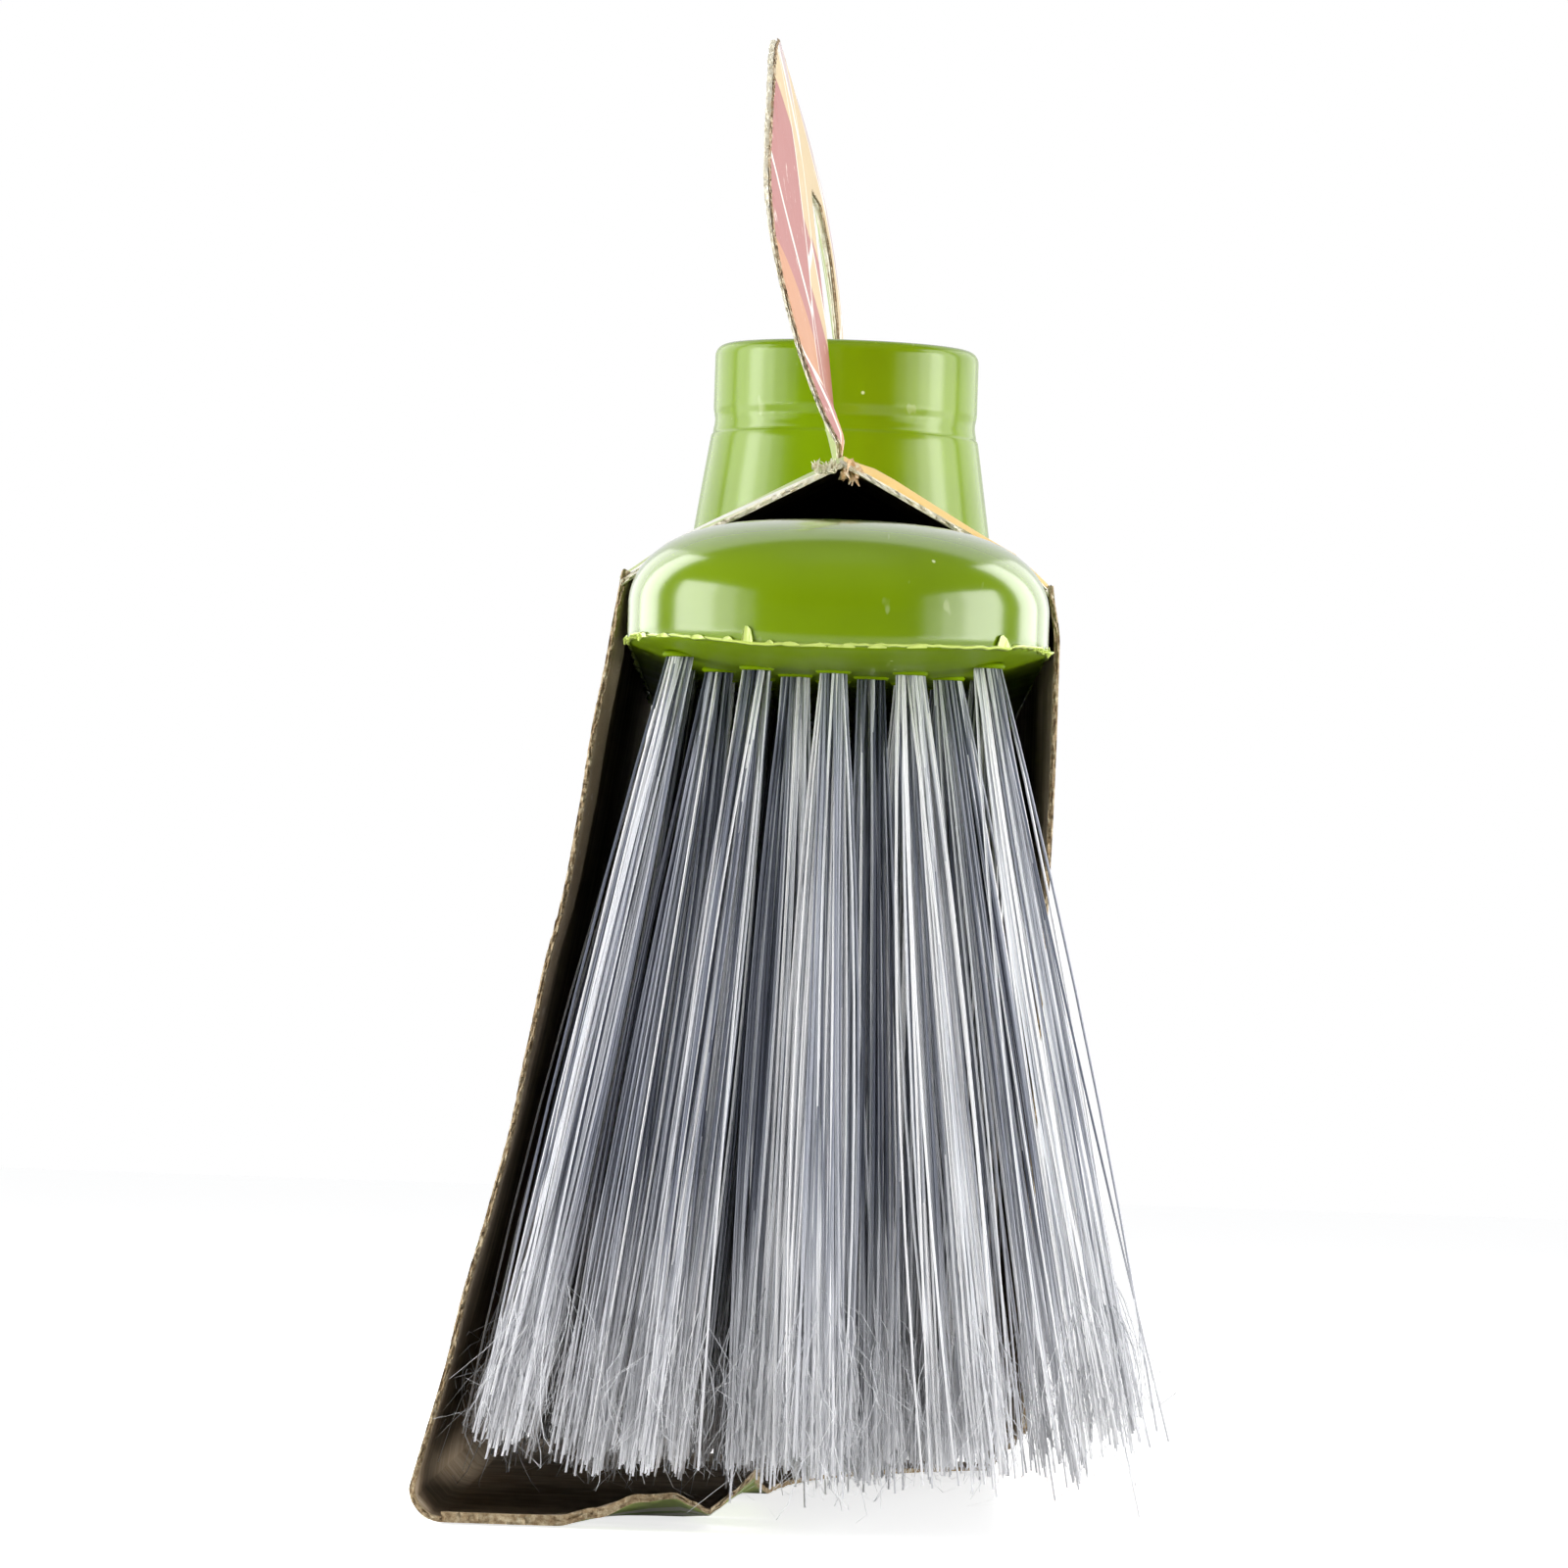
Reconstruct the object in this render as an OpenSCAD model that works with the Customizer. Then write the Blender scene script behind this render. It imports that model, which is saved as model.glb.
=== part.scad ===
// Broom-type brush head in its folded card sleeve.
// +Z is up, +Y runs along the brush, and the origin is on the surface that
// the sleeve stands on, straight below the axis of the pole socket.

/* [Block] */
// Length of the moulded block, over its round ends
block_length = 280; // [200:1:340]
// Width of the block, which is also the diameter of its round ends
block_width = 45; // [40:0.5:56]
// Height of the block's domed top above its parting line
crown_height = 13.2; // [11:0.1:18]
// Height of the upright band above the parting line
band_height = 3.9; // [2:0.1:5]
// Depth of the crowned underside below the parting line
belly_depth = 3; // [1.5:0.1:4.5]

/* [Pole socket] */
// Height of the socket above the block
socket_height = 27.4; // [24:0.5:40]
// Diameter of the socket's plain upper part
socket_d = 31.2; // [29:0.2:34]
// Diameter of the socket's foot
socket_foot_d = 36.6; // [34.5:0.2:38]
// Radius of the socket's rounded rim
rim_round = 1.4; // [0.5:0.1:2]
// Height of the ring groove's centre above the block
ring_height = 18.4; // [12:0.1:21]
// Depth of the ring groove
ring_depth = 0.3; // [0.2:0.1:1]
// Width of the ring groove
ring_width = 3.2; // [1.2:0.1:4]
// Diameter of the smooth seat for the pole's sleeve
seat_d = 24.4; // [22:0.1:25.5]
// Depth of the seat
seat_depth = 9; // [5:0.5:12]
// Diameter of the threaded bore for the pole's tip
thread_d = 19.05; // [16:0.05:20.5]
// Depth of the threaded bore below the seat
thread_depth = 19; // [12:0.5:19.5]

/* [Bristles] */
// Free length of the tufts
tuft_length = 87; // [60:1:110]
// Diameter of the tuft holes
hole_d = 4.4; // [3.6:0.1:5]
// Depth of the tuft holes
hole_depth = 9; // [7:0.5:10]
// Distance between two tufts side by side across the block
tuft_pitch = 8.8; // [8.4:0.1:8.9]
// Distance between two columns of tufts along the block
column_pitch = 12.4; // [11:0.1:14]
// Diameter of a tuft at its tips
tuft_tip_d = 6.8; // [5:0.1:7.6]
// Outward splay of the outermost tufts, in degrees
side_splay = 10.5; // [6:0.5:13]
// Outward lean of the end tufts along the brush, in degrees
end_lean = 12; // [4:0.5:15]
// Length of a tuft below the block that is still as wide as its hole
tuft_collar = 1.2; // [1:0.1:3]
// How far the holes reach into a round end
end_reach = 8; // [2:0.5:8.5]
// Height of the tips above the sleeve's base
tip_gap = 4.4; // [3:0.1:12]

/* [Staples] */
// Thickness of a tuft's anchor
anchor_thickness = 0.4; // [0.3:0.05:0.6]
// Height of a tuft's anchor
anchor_height = 2.4; // [1.5:0.1:3]
// How far the anchor bites into the hole's wall on each side
anchor_bite = 0.4; // [0.2:0.05:0.6]
// Distance from the hole's bottom to the anchor
anchor_seat = 0.8; // [0.4:0.1:1.2]

/* [Card sleeve] */
// Thickness of the card
card = 0.6; // [0.4:0.05:0.9]
// Length of the sleeve along the brush
sleeve_length = 224; // [170:1:226]
// Height of the sleeve's ridge above the block's top
ridge_rise = 8; // [4:0.1:9]
// Clearance between the shoulders and the block's rounded edges
shoulder_gap = 0.5; // [0.3:0.1:1]
// Height of the sleeve's upper side creases above the block's upright band
crease_rise = 3.6; // [3.5:0.1:6]
// Slack between the left wall and the block at the left crease
left_slack = 0.6; // [0.3:0.1:1.2]
// Room between the left wall's foot and the tips of the outer tufts
tip_room = 5.6; // [2.2:0.05:8]
// Share of the left wall's spread that comes from its bow
left_bow = 0.38; // [0:0.02:0.6]
// Radius of the fold between the left wall and the base
foot_round = 3.6; // [2:0.1:5]
// Clearance between the shoulders and the foot of the socket
collar_gap = 0.8; // [0.5:0.1:1.5]
// Where the tear starts in the base's near edge, measured from the middle line
tear_start = -6; // [-8:0.5:0]
// Height that the tear reaches on the right wall's near edge
tear_height = 12; // [4:0.5:20]
// Distance from the end of the tear to the sleeve's far end
tear_stop = 12; // [5:1:60]

/* [Header] */
// Height of the arched header above its crease
header_height = 54; // [48:0.1:80]
// How far each end of the header stays back from the end of the sleeve
header_inset = 0; // [0:1:30]
// Thickness of each of the header's two plies
ply = 0.55; // [0.4:0.05:0.8]
// Gap under the header's crease that lets it fold flat
fold_gap = 0.3; // [0.2:0.05:0.6]
// Furthest that the header bows to the left
header_lean = 9.6; // [4:0.1:10]
// Clearance between the header's cut-out and the foot of the socket
cutout_gap = 1.2; // [1:0.1:3]
// Height of the cut-out above the crease
cutout_height = 36.4; // [30:0.1:42]
// Radius of the cut-out's upper corners
cutout_round = 3; // [1:0.5:6]

/* [Hidden] */
$fn = 48;

ROWS = 9;                                   // rows of tufts, counted from the left
BLOCK_POWER = 3.4;                          // how square the block's rounded edge is
BELLY_FLAT = 0.3;                           // share of the underside that is flat
BELLY_POWER = 2.5;                          // how late the rest of it curves up
FREE_REACH = 2;                             // how far inside the sleeve's ends a tuft is still free
SHOULDER_ANGLE = 50;                        // where on that edge the shoulder creases
BOW_ANGLE = 138;                            // how much of a sine wave the header bows through
BOW_POWER = 1.3;
SHOULDER_SLOPE = 40;                        // how steep the shoulder's lower part is
TEAR_POWER = 5;                             // how late the tear turns to the right
OVERCUT = 1;                                // how far a cutter runs past the face it opens

half_width = block_width / 2;
straight_half = block_length / 2 - half_width;
parting_z = card + tip_gap + tuft_length + belly_depth;
block_top = parting_z + crown_height;
socket_top = block_top + socket_height;
ridge_z = block_top + ridge_rise;
crease_z = ridge_z + ply + fold_gap;        // the header's folding axis
half_columns = floor((straight_half + end_reach) / column_pitch);
header_half = sleeve_length / 2 - header_inset;

right_wall_x = half_width + card;
left_wall_x = right_wall_x + left_slack;
outer_tip_x = row_x(ROWS) + tuft_length * sin(side_splay) + tuft_tip_d / 2 * cos(side_splay);
left_foot_x = outer_tip_x + tip_room + card;
left_flare = left_foot_x - left_wall_x;
side_crease_z = parting_z + band_height + crease_rise;

plastic_green = [0.46, 0.62, 0.06];
filament_grey = [0.72, 0.73, 0.76];
staple_steel = [0.70, 0.70, 0.72];
card_lime = [0.76, 0.82, 0.45];
card_yellow = [0.93, 0.80, 0.32];
card_peach = [0.93, 0.66, 0.58];
card_brown = [0.55, 0.51, 0.42];

// --- the block ---

// A point on the rounded upper edge, from the upright band (0) to the crown's middle (90)
function crown_point(angle) = [
    half_width * pow(cos(angle), 2 / BLOCK_POWER),
    parting_z + band_height + (crown_height - band_height) * sin(angle)
];

// Depth of the underside below the parting line, at a distance from the middle line
function belly(distance) =
    let (share = max(0, distance / half_width - BELLY_FLAT) / (1 - BELLY_FLAT))
    belly_depth * (1 - pow(share, BELLY_POWER));

half_profile = concat(
    [[0, parting_z - belly_depth]],
    [for (i = [0:5]) let (x = half_width * (BELLY_FLAT + (1 - BELLY_FLAT) * i / 5)) [x, parting_z - belly(x)]],
    [for (i = [0:11]) crown_point(i * 7.5)],
    [[0, block_top]]
);

module block_body() {
    for (side = [0, 1])
        mirror([side, 0, 0])
            rotate([90, 0, 0])
                linear_extrude(height = 2 * straight_half, center = true)
                    polygon(half_profile);
    for (end = [0, 180])
        rotate([0, 0, end])
            translate([0, straight_half, 0])
                rotate_extrude(angle = 180)
                    polygon(half_profile);
}

socket_r = socket_d / 2;
foot_r = socket_foot_d / 2;
ring_z = block_top + ring_height;
ring_half = ring_width / 2;

module socket_body() {
    flare = foot_r - socket_r;
    rise = ring_height - ring_half;
    rotate_extrude($fn = 96)
        polygon(concat(
            [[0, parting_z + band_height], [foot_r, parting_z + band_height]],
            [for (i = [0:6]) [foot_r - flare * pow(i / 6, 1.5), block_top + rise * i / 6]],
            [[socket_r - ring_depth, ring_z], [socket_r, ring_z + ring_half]],
            [for (a = [0:15:90]) [
                socket_r - rim_round * (1 - cos(a)),
                socket_top - rim_round * (1 - sin(a))
            ]],
            [[0, socket_top]]
        ));
}

module pole_bores() {
    translate([0, 0, socket_top - seat_depth])
        cylinder(h = seat_depth + OVERCUT, d = seat_d, $fn = 96);
    translate([0, 0, socket_top - seat_depth - thread_depth])
        cylinder(h = thread_depth + OVERCUT, d = thread_d, $fn = 96);
}

module brush_block() {
    color(plastic_green)
        difference() {
            union() {
                block_body();
                socket_body();
            }
            pole_bores();
            for (row = [1:ROWS])
                at_tufts(row)
                    translate([0, 0, -2 * tuft_collar])
                        cylinder(h = hole_depth + 2 * tuft_collar, d = hole_d);
        }
}

// --- the tufts and their anchors ---

function row_x(row) = (row - (ROWS + 1) / 2) * tuft_pitch / 2;
function row_share(row) = 2 * row_x(row) / (tuft_pitch * (ROWS - 1) / 2);

// Odd rows have a tuft in every even column, and even rows in every odd one
function in_column(row, column) = (row + abs(column)) % 2 == 1;

// The tufts at the sleeve's ends spread both ways; its right wall keeps the others upright
function past_sleeve(column) =
    let (y = abs(column) * column_pitch)
    y > sleeve_length / 2
        || (abs(column) >= half_columns - 1 && y > sleeve_length / 2 - FREE_REACH);
function splay(row, column) =
    past_sleeve(column) || row_x(row) < 0 ? side_splay * row_share(row) : 0;
function lean(column) = sign(column) * end_lean * pow(abs(column) / half_columns, 6);

function mouth_z(row, column) =
    let (past = max(0, abs(column) * column_pitch - straight_half))
    parting_z - belly(norm([row_x(row), past]));

// Puts its child at each hole of a row: the hole runs up from the child's origin
module at_tufts(row) {
    for (column = [-half_columns:half_columns])
        if (in_column(row, column))
            translate([row_x(row), column * column_pitch, mouth_z(row, column)])
                rotate([lean(column), -splay(row, column), 0])
                    children();
}

module one_anchor() {
    width = hole_d + 2 * anchor_bite;
    translate([-anchor_thickness / 2, -width / 2, hole_depth - anchor_seat - anchor_height])
        cube([anchor_thickness, width, anchor_height]);
}

module one_tuft() {
    difference() {
        union() {
            translate([0, 0, -tuft_collar])
                cylinder(h = hole_depth + tuft_collar, d = hole_d);
            translate([0, 0, -tuft_length])
                cylinder(h = tuft_length - tuft_collar, d1 = tuft_tip_d, d2 = hole_d);
        }
        one_anchor();
    }
}

module tuft_row(row) {
    color(filament_grey)
        at_tufts(row)
            one_tuft();
}

module anchor_row(row) {
    color(staple_steel)
        at_tufts(row)
            one_anchor();
}

// --- the card sleeve: one closed outline, split into panels at its creases ---

ridge = [[0, ridge_z]];
shoulder_lift = (card + shoulder_gap) / cos(SHOULDER_SLOPE);
function shoulder_point(side) =
    let (p = crown_point(SHOULDER_ANGLE)) [side * p[0], p[1] + shoulder_lift];
right_corner = [[right_wall_x, side_crease_z]];
right_foot = [[right_wall_x, 0]];
left_foot = [for (a = [0:22.5:90]) [
    -left_foot_x + foot_round * (1 - sin(a)),
    foot_round * (1 - cos(a))
]];
left_wall = [for (i = [7:-1:0]) let (u = i / 8) [
    -left_wall_x - left_flare * ((1 - left_bow) * u + left_bow * u * u),
    side_crease_z - (side_crease_z - foot_round) * u
]];

outline = concat(
    ridge, [shoulder_point(1)], right_corner, right_foot,
    left_foot, left_wall, [shoulder_point(-1)]
);
at_right_corner = 2;
at_right_foot = 3;
at_left_foot = 4;
at_left_corner = at_left_foot + len(left_foot) + len(left_wall) - 1;
at_ridge_again = len(outline);

// The direction from an edge of the outline to its inside
function inward(a, b) = let (d = (b - a) / norm(b - a)) [d[1], -d[0]];
function inner_point(i) =
    let (
        n = len(outline),
        a = outline[(i + n - 1) % n], b = outline[i % n], c = outline[(i + 1) % n],
        before = inward(a, b), after = inward(b, c)
    )
    b + card * (before + after) / (1 + before * after);

// The panel between two creases of the outline
module panel(first, last) {
    rotate([90, 0, 0])
        linear_extrude(height = sleeve_length, center = true)
            polygon(concat(
                [for (i = [first:last]) outline[i % len(outline)]],
                [for (i = [last:-1:first]) inner_point(i)]
            ));
}

module shoulder(first, last) {
    difference() {
        panel(first, last);
        translate([0, 0, parting_z])
            cylinder(h = 2 * socket_height, r = foot_r + collar_gap, $fn = 96);
    }
}

module right_shoulder_panel() {
    color(card_yellow)
        shoulder(0, at_right_corner);
}

// The crease between the base and the right wall is torn open from the near end:
// how far along the sleeve the tear has run at a share of its length
function tear_y(share) = -sleeve_length / 2 + (sleeve_length - tear_stop) * share;

module base_tear() {
    past = right_wall_x + OVERCUT;
    translate([0, 0, -OVERCUT])
        linear_extrude(height = card + 2 * OVERCUT)
            polygon(concat(
                [for (i = [0:12]) [
                    tear_start + (right_wall_x - tear_start) * pow(i / 12, TEAR_POWER),
                    tear_y(i / 12)
                ]],
                [[past, tear_y(1)], [past, tear_y(0) - OVERCUT], [tear_start, tear_y(0) - OVERCUT]]
            ));
}

module wall_tear() {
    translate([right_wall_x - card - OVERCUT, 0, 0])
        rotate([90, 0, 90])
            linear_extrude(height = card + 2 * OVERCUT)
                polygon([
                    [tear_y(0) - OVERCUT, -OVERCUT], [tear_y(1), -OVERCUT], [tear_y(1), 0],
                    [tear_y(0), tear_height], [tear_y(0) - OVERCUT, tear_height]
                ]);
}

module right_wall_panel() {
    color(card_peach)
        difference() {
            panel(at_right_corner, at_right_foot);
            wall_tear();
        }
}

module base_panel() {
    color(card_lime)
        difference() {
            panel(at_right_foot, at_left_foot);
            base_tear();
        }
}

module left_wall_panel() {
    color(card_brown)
        panel(at_left_foot, at_left_corner);
}

module left_shoulder_panel() {
    color(card_lime)
        shoulder(at_left_corner, at_ridge_again);
}

// --- the header: two plies that fold together on the crease along the ridge ---

function header_x(u) = -header_lean * pow(sin(BOW_ANGLE * u), BOW_POWER);

module ply_sheet(near_x, far_x) {
    rotate([90, 0, 0])
        linear_extrude(height = 2 * header_half, center = true)
            polygon(concat(
                [for (i = [0:10]) [header_x(i / 10) + near_x, crease_z + header_height * i / 10]],
                [for (i = [10:-1:0]) [header_x(i / 10) + far_x, crease_z + header_height * i / 10]]
            ));
}

module arch() {
    translate([-2 * header_lean, 0, crease_z])
        rotate([90, 0, 90])
            linear_extrude(height = 4 * header_lean)
                polygon([for (a = [0:6:180]) [header_half * cos(a), header_height * sin(a)]]);
}

module cutout() {
    half = foot_r + cutout_gap;
    translate([-2 * header_lean, 0, crease_z])
        rotate([90, 0, 90])
            linear_extrude(height = 4 * header_lean) {
                translate([-half, -OVERCUT])
                    square([2 * half, cutout_height - cutout_round + OVERCUT]);
                translate([-half + cutout_round, 0])
                    square([2 * (half - cutout_round), cutout_height]);
                for (side = [-1, 1])
                    translate([side * (half - cutout_round), cutout_height - cutout_round])
                        circle(r = cutout_round);
            }
}

module header_ply(near_x, far_x) {
    difference() {
        intersection() {
            ply_sheet(near_x, far_x);
            arch();
        }
        cutout();
    }
}

module header_left_ply() {
    color(card_lime)
        header_ply(-ply, 0);
}

module header_right_ply() {
    color(card_peach)
        header_ply(0, ply);
}

brush_block();
for (row = [1:ROWS]) {
    tuft_row(row);
    anchor_row(row);
}
left_shoulder_panel();
right_shoulder_panel();
left_wall_panel();
right_wall_panel();
base_panel();
header_left_ply();
header_right_ply();
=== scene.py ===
"""Visual model of the brush head in its folded card sleeve.

Lengths are in millimetres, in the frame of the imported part: +Z up along the
pole socket, +Y along the brush, origin on the floor under the socket. They
become metres where a mesh is made. Finishes, node trees and lamps are in metres
throughout. The near end is the one at -Y.
"""

import math

import bmesh
import bpy
import numpy as np
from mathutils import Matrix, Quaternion, Vector
from mathutils.geometry import delaunay_2d_cdt


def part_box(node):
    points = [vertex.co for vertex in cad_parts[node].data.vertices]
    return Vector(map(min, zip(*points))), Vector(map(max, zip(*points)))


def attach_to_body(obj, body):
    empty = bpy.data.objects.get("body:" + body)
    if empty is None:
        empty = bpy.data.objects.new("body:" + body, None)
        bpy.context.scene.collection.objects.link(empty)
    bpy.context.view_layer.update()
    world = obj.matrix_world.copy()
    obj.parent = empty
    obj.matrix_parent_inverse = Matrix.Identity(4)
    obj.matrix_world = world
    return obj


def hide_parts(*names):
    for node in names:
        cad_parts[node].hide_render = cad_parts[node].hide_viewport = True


MM = 0.001
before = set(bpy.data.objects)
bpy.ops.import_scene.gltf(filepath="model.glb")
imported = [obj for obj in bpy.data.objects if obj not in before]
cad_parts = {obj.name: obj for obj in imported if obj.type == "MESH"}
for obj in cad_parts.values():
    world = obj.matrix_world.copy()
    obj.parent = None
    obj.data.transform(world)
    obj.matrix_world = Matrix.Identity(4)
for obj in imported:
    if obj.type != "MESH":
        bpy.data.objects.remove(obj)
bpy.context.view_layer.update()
scene = bpy.context.scene

# ---------------------------------------------------------------- camera

CAMERA_HEIGHT = 46
CAMERA_DISTANCE = 1200
CAMERA_ROLL = math.radians(1.9)
NEAR_PLANE = -112  # the sleeve's near end, which the view is aimed through
AIM_X, AIM_Z = -5.26, 80.24  # where the view's middle crosses that plane
LENS = 233

camera = bpy.data.objects.new("view", bpy.data.cameras.new("view"))
scene.collection.objects.link(camera)
camera.data.lens = LENS
camera.data.sensor_width = 36
camera.data.clip_end = 50
camera.location = Vector((0, -CAMERA_DISTANCE, CAMERA_HEIGHT)) * MM
aim = Vector((AIM_X, NEAR_PLANE, AIM_Z)) * MM - camera.location
turn = aim.to_track_quat("-Z", "Y") @ Quaternion((0, 0, 1), CAMERA_ROLL)
camera.rotation_mode = "QUATERNION"
camera.rotation_quaternion = turn
scene.camera = camera
scene.view_settings.view_transform = "Standard"

# ---------------------------------------------------------------- sizes

# block: a rounded top on a low straight band, and a belly below the parting line
block_high = Vector(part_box("brush_block")[1]) / MM
HALF_WIDTH = block_high.x
STRAIGHT_HALF = block_high.y - HALF_WIDTH
SOCKET_TOP = block_high.z
BLOCK_TOP = SOCKET_TOP - 27.4
BLOCK_POWER = 3.4  # the higher, the squarer the rounded top
PARTING = BLOCK_TOP - 13.2
END_SAG = 1.0  # the parting line hangs this much lower at the tips
BAND_TOP = PARTING + 3.9
BELLY, BELLY_FLAT, BELLY_POWER = 3.0, 0.3, 2.5

# socket: a foot that flares, a ring groove, the seat for a pole and its thread
SOCKET_R, FOOT_R, RIM_ROUND = 15.6, 18.3, 1.4
RING_Z, RING_HALF, RING_DEPTH = BLOCK_TOP + 18.4, 1.6, 0.2
SEAT_R, SEAT_DEPTH = 12.2, 9
THREAD_R, THREAD_DEPTH, THREAD_PITCH = 9.525, 19, 5.08

# tufts: rows run along the brush, columns go from -COLUMNS to COLUMNS
ROWS, COLUMNS = 9, 10
TUFT_PITCH, COLUMN_PITCH, TUFT_LENGTH = 8.8, 12.4, 85.8
SIDE_SPLAY, END_LEAN = 10.5, 12  # degrees
HOLE_R = 1.65
REACH_LEAN = 0.8  # the left tufts are this much longer, the right ones shorter
ROOT_DRAW, ROOT_SHIFT = 0.925, 0.35  # the bundles sit this far inside their rows

# sleeve: an upright right wall, a left wall that spreads to its foot, and a ridge
CARD = 0.6
SLEEVE_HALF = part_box("left_wall_panel")[1].y / MM
NEAR, FAR = -SLEEVE_HALF, SLEEVE_HALF
TRIM = 0.3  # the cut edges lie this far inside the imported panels
RIDGE_Z = BLOCK_TOP + 8
CREASE_Z = RIDGE_Z + 0.85
CORNER_Z = BAND_TOP + 3.6
RIGHT_WALL_X = HALF_WIDTH + CARD
LEFT_WALL_X = RIGHT_WALL_X + 0.6
LEFT_FOOT_X = -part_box("left_wall_panel")[0].x / MM
FOOT_ROUND = 3.6
LEFT_BOW = 0.38  # 0 is a straight left wall

# header: two plies that rise from the crease, with a cut-out for the socket
PLY = 0.55
HEADER_HEIGHT = 54
CUTOUT_HALF, CUTOUT_HEIGHT, CUTOUT_ROUND = 19.5, 36.4, 9

# ---------------------------------------------------------------- nodes


class Value:
    """A socket in arithmetic: each operator adds the Math node for it."""

    def __init__(self, nodes, socket):
        self.nodes, self.socket = nodes, socket

    def out(self, name):
        """Another output of the same node."""
        return Value(self.nodes, self.socket.node.outputs[name])

    def __add__(self, other):
        return self.nodes.math("ADD", self, other)

    def __sub__(self, other):
        return self.nodes.math("SUBTRACT", self, other)

    def __rsub__(self, other):
        return self.nodes.math("SUBTRACT", other, self)

    def __mul__(self, other):
        return self.nodes.math("MULTIPLY", self, other)

    def __truediv__(self, other):
        return self.nodes.math("DIVIDE", self, other)

    def __pow__(self, other):
        return self.nodes.math("POWER", self, other)

    def __gt__(self, other):
        return self.nodes.math("GREATER_THAN", self, other)

    def __lt__(self, other):
        return self.nodes.math("LESS_THAN", self, other)

    __radd__ = __add__
    __rmul__ = __mul__


class Nodes:
    """Adds nodes to one tree and returns their first socket as a Value."""

    def __init__(self, tree):
        self.tree = tree

    def node(self, kind, settings=None, inputs=None):
        """Sets the settings first, then the values or links of the inputs."""
        made = self.tree.nodes.new(kind)
        for name, value in (settings or {}).items():
            if name == "stops":
                first, *middle, last = value
                ends = made.color_ramp.elements
                for element, (place, colour) in zip(list(ends), (first, last)):
                    element.position, element.color = place, (*colour, 1)
                for place, colour in middle:
                    made.color_ramp.elements.new(place).color = (*colour, 1)
            else:
                setattr(made, name, value)
        for name, value in (inputs or {}).items():
            if isinstance(value, Value):
                self.tree.links.new(value.socket, made.inputs[name])
            else:
                made.inputs[name].default_value = value
        return Value(self, next((s for s in made.outputs if s.enabled), None))

    def math(self, operation, a, b=0.0):
        return self.node("ShaderNodeMath", {"operation": operation}, {0: a, 1: b})

    def vector(self, operation, a, b=None, scale=None):
        inputs = {0: a}
        if b is not None:
            inputs[1] = b
        if scale is not None:
            inputs["Scale"] = scale
        return self.node("ShaderNodeVectorMath", {"operation": operation}, inputs)

    def scaled(self, vector, scale):
        return self.vector("SCALE", vector, scale=scale)

    def total(self, first, *others):
        """The sum of vectors."""
        for other in others:
            first = self.vector("ADD", first, other)
        return first

    def parts(self, vector):
        """The X, Y and Z of a vector."""
        split = self.node("ShaderNodeSeparateXYZ", None, {0: vector})
        return split, split.out("Y"), split.out("Z")

    def combine(self, x, y, z=0.0):
        return self.node("ShaderNodeCombineXYZ", None, {0: x, 1: y, 2: z})

    def smooth(self, value, low, high, start=0.0, end=1.0):
        """Goes smoothly from start to end while value goes from low to high."""
        return self.node("ShaderNodeMapRange", {"interpolation_type": "SMOOTHSTEP"},
                         {0: value, 1: low, 2: high, 3: start, 4: end})

    def mix(self, share, a, b):
        return self.node("ShaderNodeMix", {"data_type": "RGBA"}, {0: share, 6: a, 7: b})

    def noise(self, place, scale, detail=3.0, roughness=0.5, stretch=None):
        if stretch:
            place = self.vector("MULTIPLY", place, stretch)
        return self.node("ShaderNodeTexNoise", None, {
            "Vector": place, "Scale": scale, "Detail": detail, "Roughness": roughness})

    def bump(self, height, strength, distance):
        return self.node("ShaderNodeBump", None,
                         {"Strength": strength, "Distance": distance, "Height": height})

    def ramp(self, value, stops):
        """Colours between (place, 0 to 255 colour) stops."""
        stops = [(place, srgb(*colour)) for place, colour in stops]
        return self.node("ShaderNodeValToRGB", {"stops": stops}, {0: value})

    def object_place(self):
        return self.node("ShaderNodeTexCoord").out("Object")

    def attribute(self, name):
        return self.node("ShaderNodeAttribute", {"attribute_name": name}).out("Fac")


def srgb(red, green, blue):
    """A colour in 0 to 255 display values as a shader colour."""
    def linear(v):
        v /= 255
        return v / 12.92 if v <= 0.04045 else ((v + 0.055) / 1.055) ** 2.4
    return (linear(red), linear(green), linear(blue))


def rgba(red, green, blue):
    return (*srgb(red, green, blue), 1)


def new_material(name):
    """A material, its nodes, and the call that feeds a socket of its shader."""
    material = bpy.data.materials.new(name)
    material.use_nodes = True
    nodes = Nodes(material.node_tree)
    shader = material.node_tree.nodes["Principled BSDF"]

    def feed(socket, value):
        if isinstance(value, Value):
            material.node_tree.links.new(value.socket, shader.inputs[socket])
        else:
            shader.inputs[socket].default_value = value

    return material, nodes, feed


# ---------------------------------------------------------------- finishes

GREEN = rgba(121, 150, 1)
GREEN_DEEP = rgba(108, 135, 1)
# painted light: the thin flash and burrs are painted a lighter green for the light that shines through
# them
GREEN_FLASH_LIT = rgba(204, 222, 112)


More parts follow.
